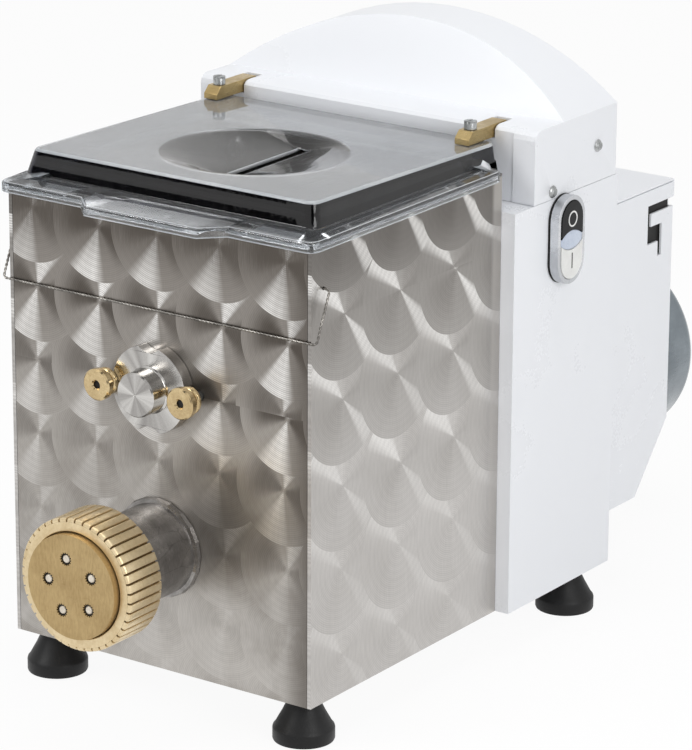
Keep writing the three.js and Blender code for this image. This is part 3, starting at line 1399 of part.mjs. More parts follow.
// Assembly
const [rearRightFoot, rearLeftFoot] = rearFootPlaces();
const [frontScrew, rearScrew] = hoodScrewPlaces();
const [rightBolt, leftBolt] = boltPlaces();
const [rightBar, leftBar] = barPlaces();
const footFrontX = boxHalf - footFrontInset;
const footRearY = columnRear - footRearSetback;
const machine = new THREE.Group();
machine.add(
  frontPanel(),
  sidePanel('side_panel_right', 1),
  sidePanel('side_panel_left', -1),
  basePlate(),
  hopperTub(),
  tubBolt('tub_bolt_right', rightBolt),
  tubBolt('tub_bolt_left', leftBolt),
  extrusionBarrel(),
  thrustBush(),
  diePlate(),
  dieCoreSpider(),
  ringNut(),
  auger(),
  wheelOnShaft('auger_gear', augerTeeth, augerPhase, augerZ),
  mixerShaft(),
  wheelOnShaft('mixer_gear', mixerTeeth, mixerPhase, mixerZ),
  mixerBush(),
  mixerBearingFlange(),
  mixerStud('mixer_stud_right', studSpread),
  mixerStud('mixer_stud_left', -studSpread),
  thumbNut('thumb_nut_right', studSpread),
  thumbNut('thumb_nut_left', -studSpread),
  lid(),
  hingeBar('hinge_bar_right', rightBar),
  hingeBar('hinge_bar_left', leftBar),
  barScrew('bar_screw_right', rightBar),
  barScrew('bar_screw_left', leftBar),
  lidHingeShaft(),
  hingeBearing('hinge_bearing_right', rightBar),
  hingeBearing('hinge_bearing_left', leftBar),
  wireBail(),
  columnCasing(),
  columnBack(),
  hood(),
  hoodScrew('hood_screw_front_right', 1, frontScrew),
  hoodScrew('hood_screw_rear_right', 1, rearScrew),
  hoodScrew('hood_screw_front_left', -1, frontScrew),
  hoodScrew('hood_screw_rear_left', -1, rearScrew),
  switchGasket(),
  switchBezel(),
  pushButton('stop_button', 1, blackPlastic()),
  pushButton('start_button', -1, whitePlastic()),
  pilotLens(),
  switchContactBlock(),
  gearCaseFront(),
  gearCaseRear(),
  bearing('auger_bearing', augerZ),
  bearing('mixer_bearing', mixerZ),
  countershaft(),
  motorBody(),
  motorShaft(),
  motorFan(),
  fanCowl(),
  rearCover(),
  rearCoverTop(),
  cableGland(),
  foot('foot_front_right', footFrontX, footFrontInset),
  foot('foot_front_left', -footFrontX, footFrontInset),
  foot('foot_rear_right', rearRightFoot, footRearY),
  foot('foot_rear_left', rearLeftFoot, footRearY),
);

// The origin is the middle of the bounding box, at the floor
const bounds = new THREE.Box3().setFromObject(machine);
machine.position.set(-(bounds.min.x + bounds.max.x) / 2, -(bounds.min.y + bounds.max.y) / 2, 0);

export default machine;
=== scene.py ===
import math

import bmesh
import bpy
from bpy.props import FloatProperty, FloatVectorProperty, IntProperty, PointerProperty
from mathutils import Matrix, Vector


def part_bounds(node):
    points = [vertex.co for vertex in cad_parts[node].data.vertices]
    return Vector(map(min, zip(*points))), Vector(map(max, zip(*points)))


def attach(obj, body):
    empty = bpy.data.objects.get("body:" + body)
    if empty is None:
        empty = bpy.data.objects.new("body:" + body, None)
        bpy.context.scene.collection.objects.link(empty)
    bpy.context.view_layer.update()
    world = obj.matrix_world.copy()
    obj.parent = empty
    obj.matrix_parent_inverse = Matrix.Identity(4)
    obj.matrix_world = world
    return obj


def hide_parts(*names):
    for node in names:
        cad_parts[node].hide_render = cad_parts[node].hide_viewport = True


bl_info = {
    "name": "Pasta maker looks",
    "version": (1, 0, 0),
    "blender": (4, 5, 0),
    "location": "View3D > Sidebar > Pasta maker",
    "description": "Builds the visible pieces, finishes, stage and camera of an electric pasta maker",
    "category": "Object",
}

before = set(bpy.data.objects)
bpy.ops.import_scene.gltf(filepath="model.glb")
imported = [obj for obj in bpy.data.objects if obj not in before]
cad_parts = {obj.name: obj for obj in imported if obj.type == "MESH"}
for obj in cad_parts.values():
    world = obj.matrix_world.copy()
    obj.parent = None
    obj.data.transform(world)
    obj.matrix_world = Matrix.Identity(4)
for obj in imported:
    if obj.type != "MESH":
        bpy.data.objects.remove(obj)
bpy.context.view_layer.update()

MM = 0.001
BARREL_LOW, BARREL_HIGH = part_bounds("extrusion_barrel")
ORIGIN = Vector(((BARREL_LOW.x + BARREL_HIGH.x) / 2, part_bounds("side_panel_right")[0].y, 0))
WORDS = ("right", "left")


def place_at(x, y, z):
    """A place of the machine in Blender's metres."""
    return ORIGIN + Vector((x, y, z)) * MM


def part_box(node):
    """A node's lowest and highest corner in machine millimetres."""
    return [(corner - ORIGIN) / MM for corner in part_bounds(node)]


def part_middle(node):
    """A node's middle in machine millimetres, as x, y and z."""
    return [(low + high) / 2 for low, high in zip(*part_box(node))]


def facing_front(x, y, z):
    """Puts a shape built about +Z onto an axis that points to the front."""
    return Matrix.Translation((x, y, z)) @ Matrix.Rotation(math.radians(90), 4, "X")


BARREL, FRONT, RING, DIE, CORES, FLANGE, LID, BEZEL, GASKET, COWL = (part_box(node) for node in (
    "extrusion_barrel", "front_panel", "ring_nut", "die_plate", "die_core_spider", "mixer_bearing_flange",
    "lid", "switch_bezel", "switch_gasket", "fan_cowl"))
AUGER_Z = (RING[0].z + RING[1].z) / 2
MIXER_Z = (FLANGE[0].z + FLANGE[1].z) / 2
BOX_TOP = FRONT[1].z
MERGE = 0.002  # points closer than this are one point
AUGER_AXIS, MIXER_AXIS = facing_front(0, 0, AUGER_Z), facing_front(0, 0, MIXER_Z)


def rgb(red, green, blue):
    """A colour of 0 to 255 as Blender's linear red, green, blue."""
    def linear(value):
        share = value / 255
        return share / 12.92 if share <= 0.04045 else ((share + 0.055) / 1.055) ** 2.4
    return (linear(red), linear(green), linear(blue))


# Node trees
class Signal:
    """A node's output that takes part in sums, so that a shader's arithmetic reads as a formula."""

    def __init__(self, graph, socket):
        self.graph, self.socket = graph, socket

    def __add__(self, other):
        return self.graph.math("ADD", self, other)

    def __sub__(self, other):
        return self.graph.math("SUBTRACT", self, other)

    def __rsub__(self, other):
        return self.graph.math("SUBTRACT", other, self)

    def __mul__(self, other):
        return self.graph.math("MULTIPLY", self, other)

    def __truediv__(self, other):
        return self.graph.math("DIVIDE", self, other)


class Graph:
    """Adds nodes to one tree; a value may be a number, a colour, a vector or a signal."""

    def __init__(self, tree):
        self.tree = tree

    def put(self, socket, value):
        if isinstance(value, Signal):
            self.tree.links.new(value.socket, socket)
        else:
            socket.default_value = (*value, 1) if socket.type == "RGBA" else value

    def fill(self, node, **sockets):
        """Fills sockets by name, with _ for a space."""
        for key, value in sockets.items():
            self.put(node.inputs[key.replace("_", " ")], value)

    def add(self, kind, *values, **named):
        """A node: values fill its first sockets; a small name is a setting and a capital one a socket."""
        node = self.tree.nodes.new(kind)
        for key, value in named.items():
            if key[0].islower():
                setattr(node, key, value)
        for socket, value in zip(node.inputs, values):
            self.put(socket, value)
        self.fill(node, **{key: value for key, value in named.items() if key[0].isupper()})
        return node

    def out(self, kind, output, *values, **named):
        """One output of a new node."""
        return Signal(self, self.add(kind, *values, **named).outputs[output])

    def math(self, operation, *values, clamp=False):
        return self.out("ShaderNodeMath", 0, *values, operation=operation, use_clamp=clamp)

    def smooth(self, value, low, high, out_low=0.0, out_high=1.0):
        return self.out("ShaderNodeMapRange", 0, value, low, high, out_low, out_high,
                        interpolation_type="SMOOTHSTEP")

    def mix(self, share, first, second, mode="MIX"):
        node = self.add("ShaderNodeMix", share, data_type="RGBA", blend_type=mode)
        self.put(node.inputs[6], first)
        self.put(node.inputs[7], second)
        return Signal(self, node.outputs[2])

    def join(self, *values):
        return self.out("ShaderNodeCombineXYZ", 0, *values)

    def machine(self, where, *place):
        """The object coordinates as x, y and z in millimetres from a place of the machine."""
        moved = self.out("ShaderNodeMapping", 0, where, Scale=[1 / MM] * 3,
                         Location=[-value / MM for value in place_at(*place)])
        return [Signal(self, socket) for socket in self.add("ShaderNodeSeparateXYZ", moved).outputs]

    def noise(self, vector, scale, detail=3.0, roughness=0.55):
        return self.out("ShaderNodeTexNoise", 0, Vector=vector, Scale=scale, Detail=detail,
                        Roughness=roughness)

    def group(self, name, **sockets):
        """The outputs, by name, of one of the script's own node groups."""
        node = self.add("ShaderNodeGroup", node_tree=GROUPS[name], **sockets)
        return {socket.name: Signal(self, socket) for socket in node.outputs}

    def grain(self, where, stretch, grain, patch):
        return self.group("grain", Vector=where, Stretch=stretch, Grain_Scale=grain, Patch_Scale=patch)

    def bump(self, height, distance, strength=1.0):
        return self.out("ShaderNodeBump", 0, Height=height, Distance=distance, Strength=strength)


def new_group(name, kind, inputs, outputs):
    """A node group from labels and socket kinds: its graph, its inputs and its output node."""
    tree = bpy.data.node_groups.new(name, kind)
    for side, sockets in (("INPUT", inputs), ("OUTPUT", outputs)):
        for label, socket_kind in sockets.items():
            tree.interface.new_socket(label, in_out=side, socket_type="NodeSocket" + socket_kind)
    graph = Graph(tree)
    start = graph.add("NodeGroupInput")
    take = {label: Signal(graph, start.outputs[label]) for label in inputs}
    return graph, take, graph.add("NodeGroupOutput")


def new_material(name):
    """A material: itself, its graph, its main shader and the object coordinates."""
    material = bpy.data.materials.new(name)
    material.use_nodes = True
    graph = Graph(material.node_tree)
    shader = material.node_tree.nodes["Principled BSDF"]
    return material, graph, shader, graph.out("ShaderNodeTexCoord", "Object")


def grain_group():
    """Fine grain stretched along one direction, broad cloudy patches and hairline scratches."""
    inputs = {"Vector": "Vector", "Stretch": "Vector", "Grain Scale": "Float", "Patch Scale": "Float"}
    outputs = dict.fromkeys(("Grain", "Patches", "Scratches"), "Float")
    graph, take, give = new_group("Grain and patches", "ShaderNodeTree", inputs, outputs)
    where, stretch, grain, patch = take.values()
    stretched = graph.out("ShaderNodeVectorMath", 0, where, stretch, operation="MULTIPLY")
    wander = graph.out("ShaderNodeMapping", 0, where, Rotation=(0.4, 0.7, 0.3), Scale=(1, 0.12, 0.3))
    thin = graph.out("ShaderNodeTexVoronoi", "Distance", feature="DISTANCE_TO_EDGE", Vector=wander,
                     Scale=210.0)
    graph.fill(give, Grain=graph.noise(stretched, grain, 3.0, 0.6),
               Patches=graph.smooth(graph.noise(where, patch, 4.0, 0.6), 0.35, 0.65),
               Scratches=graph.smooth(thin, 0.0, 0.02, 1.0, 0.0))
    return graph.tree


def swirl_group():
    """Overlapping brushed discs: each gives a painted highlight in a cone above and below its centre, painted
    shade in its side sectors and over its lower part, and fine arcs.
    """
    inputs = dict.fromkeys(("Across", "Up", "Pitch Across", "Pitch Up", "Disc Radius", "Tilt", "Upper Cone",
                            "Lower Cone"), "Float")
    outputs = dict.fromkeys(("Shine", "Shade", "Arcs", "Edge", "Body"), "Float")
    graph, take, give = new_group("Swirled discs", "ShaderNodeTree", inputs, outputs)
    across, up, pitch_across, pitch_up, radius, tilt, upper_cone, lower_cone = take.values()
    calc = graph.math
    column, row = calc("FLOOR", across / pitch_across + 0.5), calc("CEIL", up / pitch_up)
    # The topmost disc over a point wins: where it is from the disc's centre, the disc's luck, and its rim
    aside, rise, luck, edge = 0.0, -20.0, 0.5, 0.0
    for down in (1, 0):
        for over in (-1, 0, 1):
            disc_column, disc_row = column + over, row - down
            seed = graph.out("ShaderNodeTexWhiteNoise", "Value", noise_dimensions="3D",
                             Vector=graph.join(disc_column, disc_row))
            drift = seed * 5.0 - 2.5
            dx = across - (disc_column * pitch_across + drift)
            dz = up - disc_row * pitch_up + drift
            reach = calc("SQRT", dx * dx + dz * dz)
            inside = calc("LESS_THAN", reach, radius)
            aside, rise, luck = (inside * (new - old) + old
                                 for new, old in ((dx, aside), (dz, rise), (seed, luck)))
            rim = inside * graph.smooth(reach, radius - 1.8, radius)
            edge = calc("MAXIMUM", (1.0 - inside) * edge, rim)
    distance = calc("SQRT", aside * aside + rise * rise) + 0.01
    cosine, sine = calc("COSINE", tilt), calc("SINE", tilt)
    along = (rise * cosine + aside * sine) / distance
    sideways = (aside * cosine - rise * sine) / distance
    strength = luck * 0.5 + 0.6
    # upper and lower are the cones of painted highlight, sectors the painted shade at a disc's sides
    upper = graph.smooth(along, upper_cone - 0.07, 1.0) * 1.15
    lower = graph.smooth(along * -1.0, lower_cone - 0.2, 1.0)
    rays = graph.out("ShaderNodeTexNoise", 0, noise_dimensions="2D", Scale=1.6,
                     Vector=graph.join(along * 9.0, luck * 31.0 + sideways))
    rayed = graph.smooth(rays, 0.3, 0.7, 0.75, 1.0)
    fine = calc("SINE", distance * 5.2) * 0.5 + 0.5
    slow = calc("SINE", distance * 1.37 + luck * 9.0) * 0.5 + 0.5
    sectors = graph.smooth(calc("ABSOLUTE", sideways), 0.62, 1.0) * strength
    fade = graph.smooth(distance, 0.2, 3.0)
    graph.fill(give, Shine=calc("MAXIMUM", upper, lower) * strength * rayed * fade,
               Shade=sectors * graph.smooth(distance, radius, radius * 0.45) * fade,
               Arcs=fine * 0.8 + slow * 0.2, Edge=edge, Body=graph.smooth(rise / distance, 0.75, 0.1))
    return graph.tree


def finish(name, dark, light, metallic=0.0, roughness=(0.3, 0.45), stretch=(1, 1, 1), grain=1500.0,
           patch=20.0, grain_share=0.5, bump=0.00004, coat=0.0, scratches=0.15, specular=0.5):
    """A solid finish: its colour, roughness and surface vary with grain, patches and scratches."""
    material, graph, shader, where = new_material(name)
    detail = graph.grain(where, stretch, grain, patch)
    share = graph.math("ADD", detail["Grain"] * grain_share, detail["Patches"] * (1 - grain_share),
                       clamp=True)
    lines = detail["Scratches"] * scratches
    graph.fill(shader, Base_Color=graph.mix(graph.math("SUBTRACT", share, lines, clamp=True), dark, light),
               Roughness=graph.smooth(share, 0.1, 0.9, roughness[1], roughness[0]),
               Normal=graph.bump(detail["Grain"] - lines, bump), Metallic=metallic, Coat_Weight=coat,
               Specular_IOR_Level=specular)
    material.diffuse_color = (*light, 1)
    return material


def swirled_steel(name, front):
    """Stainless sheet swirled with overlapping brushed discs, with painted highlight and painted shade in each
    disc; the front's are bolder than the side's.
    """
    sizes, look = bpy.context.scene.pasta_sizes, bpy.context.scene.pasta_finishes
    material, graph, shader, where = new_material(name)
    smooth, mix = graph.smooth, graph.mix
    detail = graph.grain(where, (1, 1, 1), 900.0, 16.0)
    brushed = graph.grain(where, (1, 1, 0.04), 1800.0, 9.0)["Grain"]
    patches = detail["Patches"]
    x, y, up = graph.machine(where, *((1, 0, 208.5) if front else (0, 33, 267)))
    across = x if front else y
    # Heights and widths here are millimetres from the machine() place of the sheet, and cones are cosines: the
    # swirl's painted highlight and shade are clearest at the top of a sheet, the painted sheen at its foot
    if front:
        swirl = graph.group("swirl", Across=across, Up=up, Pitch_Across=sizes.disc_pitch_across / MM,
                            Pitch_Up=sizes.disc_pitch_up / MM, Disc_Radius=sizes.disc_radius / MM, Tilt=0.3,
                            Upper_Cone=0.97, Lower_Cone=1.1)
        right = smooth(across, 0.0, 70.0, 0.0, 0.4) * smooth(up, -120.0, -60.0)
        clear = graph.math("ADD", smooth(up, -140.0, 60.0, 0.12, 1.0), right, clamp=True)
        # painted reflection: the front lighter towards its foot, broken into patches
        painted_sheen = smooth(up, 40.0, -150.0, 0.0, 0.55) * patches
        light, depth, bright = look.steel_light, look.painted_shade_depth, look.painted_highlight_strength
    else:
        swirl = graph.group("swirl", Across=across, Up=up, Pitch_Across=58.0, Pitch_Up=53.5, Disc_Radius=40.0,
                            Tilt=-0.75, Upper_Cone=0.99, Lower_Cone=1.17)
        clear = smooth(up, -190.0, 20.0, 0.4, 1.7)
        # painted sheen: the side lighter all over than the front
        painted_sheen = 0.75
        light, depth, bright = rgb(214, 211, 208), look.painted_shade_depth * 0.1, look.painted_highlight_strength * 0.62
    toned = mix(graph.math("ADD", patches * 0.22, painted_sheen, clamp=True), look.steel_base, light)
    if front:
        # painted shade: the front darker towards its top
        toned = mix(smooth(up, -60.0, 70.0, 0.0, 0.55), toned, rgb(132, 126, 120))
    else:
        # painted shade: the side darker towards its top, over the lower part of each disc, and darkest along its
        # top edge under the lid
        toned = mix(smooth(up, -90.0, 50.0, 0.0, 0.7), toned, rgb(158, 154, 149))
        toned = mix(swirl["Body"] * smooth(up, -170.0, 20.0, 0.1, 0.45), toned, rgb(122, 118, 113))
        toned = mix(smooth(up, -5.0, 40.0, 0.0, 0.55), toned, rgb(98, 94, 90))
    arcs = swirl["Arcs"]
    shine, shade = swirl["Shine"] * (arcs * 0.5 + 0.55) * clear, swirl["Shade"] * clear
    # painted shade in the dark sectors, then painted highlight in the bright cones
    toned = mix(shade * depth, toned, look.steel_painted_shade)
    toned = mix(shine * bright, toned, look.steel_painted_highlight)
    streaks = smooth(brushed, 0.35, 0.65, 0.93, 1.0) * (arcs * 0.16 + 0.88)
    toned = mix(1.0, toned, graph.join(streaks, streaks, streaks), "MULTIPLY")
    if front:
        # painted shade: the front darker in brushed streaks under the lid and towards its right edge
        shade_under_lid = smooth(up, 62.0, 100.0, 0.0, 0.85) * smooth(brushed, 0.3, 0.6, 0.6, 1.0)
        corner = smooth(across, 88.0, 110.0, 0.0, 0.7)
        toned = mix(graph.math("MAXIMUM", shade_under_lid, corner), toned, rgb(92, 86, 80))
    else:
        toned = mix(smooth(across, 155.0, 160.0, 0.0, 0.6), toned, look.steel_light)
    height = arcs * 0.5 + swirl["Edge"] * 0.2 + brushed * 0.5
    graph.fill(shader, Base_Color=toned, Roughness=(shade - shine) * 0.08 + 0.38 + patches * 0.06,
               Normal=graph.bump(height, 0.00005, 0.6), Metallic=1.0, Anisotropic=0.3)
    return material


def turned_steel(name, dark, light, smoothest, roughest):
    """Metal turned about the mixer's axis: painted sheen in streaks that fan out from it, and fine tool rings
    that run round it.
    """
    material, graph, shader, where = new_material(name)
    x, y, z = graph.machine(where, 0, 0, MIXER_Z)
    radius = graph.math("SQRT", x * x + z * z) + 0.05
    spread = graph.join(x / radius, z / radius, y * 0.01)
    # painted sheen: light and dark streaks that fan out from the axis
    fan = graph.smooth(graph.noise(spread, 1.5, 3.0, 0.5), 0.3, 0.7)
    rings = graph.math("SINE", radius * 7.0) * 0.5 + 0.5
    grain = graph.grain(where, (1, 1, 1), 900.0, 60.0)["Grain"]
    tone = fan * 0.8 + grain * 0.2
    graph.fill(shader, Base_Color=graph.mix(tone, dark, light), Metallic=1.0,
               Roughness=graph.smooth(tone, 0.1, 0.9, roughest, smoothest),
               Normal=graph.bump(rings + grain, 0.00003, 0.5))
    material.diffuse_color = (*light, 1)
    return material


def clear_lid_plastic(name, dark, light, clear):
    """Clear plastic with a faint tint, moulding ripple and fine scuffs."""
    material, graph, shader, where = new_material(name)
    detail = graph.grain(where, (1, 1, 1), 60.0, 14.0)
    ripple = detail["Grain"] - detail["Scratches"] * 0.2
    graph.fill(shader, Base_Color=graph.mix(detail["Patches"], dark, light),
               Roughness=detail["Scratches"] * 0.10 + 0.03, Normal=graph.bump(ripple, 0.0002, 0.3),
               Transmission_Weight=clear, IOR=1.5)
    material.diffuse_color = (*rgb(210, 215, 220), 0.5)
    return material


GROUPS = {}
FINISHES = {}
EVEN, LENGTHWISE = (1, 1, 1), (1, 0.05, 1)
SOLID_FINISHES = {
    "stainless": ("brushed_stainless", (150, 146, 140), (196, 192, 186), 1.0, (0.26, 0.42), LENGTHWISE,
                  1500.0, 18.0),
    "polished_steel": ("polished_steel", (140, 137, 133), (206, 203, 199), 1.0, (0.13, 0.26), EVEN, 700.0, 60.0,
                       0.5, 0.00003),
    "barrel_steel": ("turned_barrel_steel", (88, 85, 83), (184, 181, 178), 1.0, (0.22, 0.38), (1, 14, 1), 260.0,
                     45.0, 0.6, 0.00005),
    "weld_steel": ("weld_bead_steel", (186, 182, 177), (250, 247, 243), 1.0, (0.18, 0.34), EVEN, 420.0, 150.0,
                   0.4, 0.0002),
    # painted shade: the hopper tub's steel darker than the steel outside
    "tub_steel": ("tub_steel", (84, 82, 80), (132, 129, 126), 1.0, (0.26, 0.4), (0.05, 1, 1), 1500.0, 18.0),
    "inner_steel": ("inner_steel", (140, 138, 134), (188, 186, 182), 1.0, (0.3, 0.45)),
    "gear_steel": ("ground_gear_steel", (116, 116, 116), (168, 168, 166), 1.0, (0.3, 0.5)),
    "cast_case": ("cast_case_metal", (120, 122, 122), (160, 162, 160), 1.0, (0.5, 0.7), EVEN, 600.0, 30.0, 0.6,
                  0.0002),
    "cowl_metal": ("cowl_grey_metal", (96, 105, 112), (138, 147, 153), 0.9, (0.2, 0.3), (1, 0.1, 1), 700.0, 12.0,
                   0.3, 0.00005, 0.3),
    "cowl_rim": ("cowl_rim_metal", (112, 114, 104), (168, 170, 158), 0.7, (0.3, 0.45), EVEN, 900.0, 20.0, 0.4),
    "fasteners": ("zinc_fastener_steel", (120, 122, 122), (196, 198, 198), 1.0, (0.22, 0.4), EVEN,
                  900.0, 120.0),
    "wire_steel": ("wire_steel", (70, 67, 64), (176, 172, 166), 1.0, (0.25, 0.4), EVEN, 1600.0, 90.0),
    "bezel_metal": ("silver_bezel", (182, 184, 188), (226, 228, 231), 0.85, (0.2, 0.32), (1, 1, 0.2), 900.0, 40.0,
                    0.4, 0.00003, 0.2),
    # painted shade: the ring nut's groove roots darker than its lands
    "groove_brass": ("groove_brass", (74, 58, 34), (120, 96, 58), 0.85, (0.4, 0.6)),
    "die_bronze": ("die_bronze", (158, 132, 88), (204, 178, 130), 0.8, (0.36, 0.5), (1, 1, 0.25), 900.0, 50.0,
                   0.8, 0.00008),
    "core_metal": ("core_metal", (206, 196, 180), (236, 228, 214), 0.5, (0.3, 0.45), EVEN, 900.0, 120.0),
    "bar_brass": ("bar_brass", (150, 126, 80), (206, 184, 134), 0.9, (0.24, 0.4), LENGTHWISE, 1400.0, 60.0, 0.6,
                  0.00005),
    "nut_brass": ("thumb_nut_brass", (176, 152, 110), (228, 206, 162), 1.0, (0.16, 0.28), (1, 0.2, 1), 700.0,
                  60.0, 0.7, 0.00004),
    "bearing_brass": ("bearing_brass", (150, 124, 78), (198, 170, 116), 0.9, (0.26, 0.42)),
    "lens_plastic": ("lens_plastic", (176, 188, 208), (204, 213, 228), 0.0, (0.2, 0.3), EVEN, 700.0, 80.0, 0.4,
                     0.00002, 0.3),
    "black_plastic": ("black_plastic", (12, 12, 13), (22, 22, 24), 0.0, (0.3, 0.42), EVEN, 900.0, 50.0, 0.5,
                      0.00004, 0.0, 0.15, 0.2),
    "white_plastic": ("white_plastic", (224, 224, 222), (240, 240, 238), 0.0, (0.28, 0.4), EVEN, 800.0, 50.0,
                      0.4, 0.00002),
    "black_rubber": ("black_rubber", (7, 7, 8), (16, 16, 17), 0.0, (0.42, 0.6), EVEN, 1100.0, 40.0, 0.6, 0.00006,
                     0.0, 0.15, 0.35),
    # black that stands for painted shade in recesses, holes and slots; also the start button's printed line
    "gap_black": ("gap_black", (8, 8, 8), (18, 18, 18), 0.0, (0.6, 0.75)),
}
# Each row: the material's name, its dark and light tone and how clear it is
CLEAR_FINISHES = {
    "clear_plastic": ("clear_lid_plastic", (214, 217, 220), (230, 232, 235), 0.84),
    # painted shade: the funnel tinted grey
    "bowl_plastic": ("lid_bowl_plastic", (150, 148, 146), (178, 176, 174), 0.98),
    "lip_plastic": ("lid_lip_plastic", (232, 235, 238), (244, 246, 248), 0.97),
    # painted highlight: the lid's edges whiter and less clear
    "plastic_edge": ("lid_edge_plastic", (214, 219, 224), (240, 243, 246), 0.45),
    # painted shade: the lid's drafted wall tinted dark
    "shaded_wall_plastic": ("smoked_lid_wall", (44, 44, 50), (70, 70, 78), 1.0),
}


def make_finishes():
    GROUPS.update(grain=grain_group(), swirl=swirl_group())
    for maker, table in ((finish, SOLID_FINISHES), (clear_lid_plastic, CLEAR_FINISHES)):
        for key, (name, dark, light, *rest) in table.items():
            FINISHES[key] = maker(name, rgb(*dark), rgb(*light), *rest)
    look = bpy.context.scene.pasta_finishes
    FINISHES.update(
        front_sheet=swirled_steel("swirled_front_steel", True),
        side_sheet=swirled_steel("swirled_side_steel", False),
        turned_hub=turned_steel("turned_hub_steel", rgb(146, 143, 140), rgb(226, 224, 220), 0.12, 0.26),
        ring_brass=finish("ring_brass", look.brass_dark, look.brass_light, 0.85, (0.3, 0.45), EVEN, 420.0,
                          70.0, 0.7, 0.00008),
        white_paint=finish("white_paint", [0.992 * value for value in look.paint], look.paint, 0.0,
                           (0.24, 0.34), EVEN, 520.0, 5.0, 0.3, 0.00002, 0.0, 0.0))


# Meshes
def placed(name, data):
    """A new object in the scene."""
    thing = bpy.data.objects.new(name, data)
    bpy.context.scene.collection.objects.link(thing)
    return thing


def to_object(name, shape, material, body="frame", stands_for=(), bevel=0.0, steps=2, angle=35.0,
              merged=True):
    """Turns machine millimetres into a finished piece: outward faces, rounded edges, finish and body."""
    if merged:
        bmesh.ops.remove_doubles(shape, verts=shape.verts, dist=MERGE)
        bmesh.ops.recalc_face_normals(shape, faces=shape.faces)
    for vertex in shape.verts:
        vertex.co = ORIGIN + vertex.co * MM
    piece = placed(name, as_mesh(shape, name))
    piece.data.materials.append(FINISHES[material])
    if bevel:
        edge = piece.modifiers.new("Rounded edges", "BEVEL")
        edge.width, edge.segments = bevel * MM, steps
        edge.limit_method, edge.angle_limit = "ANGLE", math.radians(angle)
        edge.miter_outer = "MITER_ARC"
    piece.data.shade_smooth()
    piece.data.set_sharp_from_angle(angle=math.radians(angle))
    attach(piece, body)
    if stands_for:
        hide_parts(*stands_for)
    return piece


def as_mesh(shape, name="shape"):
    mesh = bpy.data.meshes.new(name)
    shape.to_mesh(mesh)
    shape.free()
    return mesh


def polar(reach, angle, a=0.0, b=0.0):
    """The point at a distance and an angle in radians from (a, b)."""
    return (a + reach * math.cos(angle), b + reach * math.sin(angle))


def circle(radius, count, a=0.0, b=0.0):
    return [polar(radius, 2 * math.pi * i / count, a, b) for i in range(count)]


def arc(a, b, radius, start, end, steps):
    return [polar(radius, math.radians(start + (end - start) * i / steps), a, b) for i in range(steps + 1)]


def stadium(a, b, width, height, steps=20):
    rise, radius = (height - width) / 2, width / 2
    return [*arc(a, b + rise, radius, 0, 180, steps), *arc(a, b - rise, radius, 180, 360, steps)]


def rectangle(left, right, low, high):
    return [(left, low), (right, low), (right, high), (left, high)]


def bridge_rings(rings, closed_ends=True):
    """A skin over rings of points that are all of one count."""
    shape = bmesh.new()
    rows = [[shape.verts.new(point) for point in ring] for ring in rings]
    count = len(rows[0])
    for low, high in zip(rows, rows[1:]):
        for i in range(count):
            shape.faces.new([low[i], low[(i + 1) % count], high[(i + 1) % count], high[i]])
    if closed_ends:
        shape.faces.new(list(reversed(rows[0])))
        shape.faces.new(rows[-1])
    return shape


def lathe(profile, count=64, matrix=Matrix.Identity(4), shape=None):
    """A turned shape from (radius, height) points; a profile that starts off the axis joins its ends."""
    shape = shape or bmesh.new()
    on_axis = 1e-6
    rows = [[shape.verts.new(matrix @ Vector((*point, height)))
             for point in (circle(radius, count) if radius > on_axis else [(0, 0)])]
            for radius, height in profile]
    for low, high in zip(rows, rows[1:] + (rows[:1] if profile[0][0] > on_axis else [])):
        for i in range(count):
            corners = [row[j % len(row)] for row, j in ((low, i), (low, i + 1), (high, i + 1), (high, i))]
            kept = [vertex for j, vertex in enumerate(corners) if vertex not in corners[:j]]
            if len(kept) > 2:
                shape.faces.new(kept)
    return shape


def outline_plate(outline, holes, thickness, matrix):
    """A flat plate with holes, from its outline in the plane, standing from 0 to its thickness."""
    curve = bpy.data.curves.new("outline", "CURVE")
    curve.dimensions, curve.fill_mode, curve.extrude = "2D", "BOTH", thickness / 2
    for points in [outline, *holes]:
        spline = curve.splines.new("POLY")
        spline.points.add(len(points) - 1)
        for place, (a, b) in zip(spline.points, points):
            place.co = (a, b, 0, 1)
        spline.use_cyclic_u = True
    holder = placed("outline", curve)
    graph = bpy.context.evaluated_depsgraph_get()
    mesh = bpy.data.meshes.new_from_object(holder.evaluated_get(graph))
    mesh.transform(matrix @ Matrix.Translation((0, 0, thickness / 2)))
    shape = bmesh.new()
    shape.from_mesh(mesh)
    bpy.data.objects.remove(holder)
    bpy.data.curves.remove(curve)
    bpy.data.meshes.remove(mesh)
    return shape


def copy_of(node):
    """A node's own shape with its loose triangles merged, in machine millimetres."""
    shape = bmesh.new()
    shape.from_mesh(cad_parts[node].data)
    for vertex in shape.verts:
        vertex.co = (vertex.co - ORIGIN) / MM
    bmesh.ops.remove_doubles(shape, verts=shape.verts, dist=MERGE)
    bmesh.ops.dissolve_limit(shape, angle_limit=math.radians(1.5), verts=shape.verts, edges=shape.edges)
    return shape


# Geometry Nodes for what repeats
TREES = {}


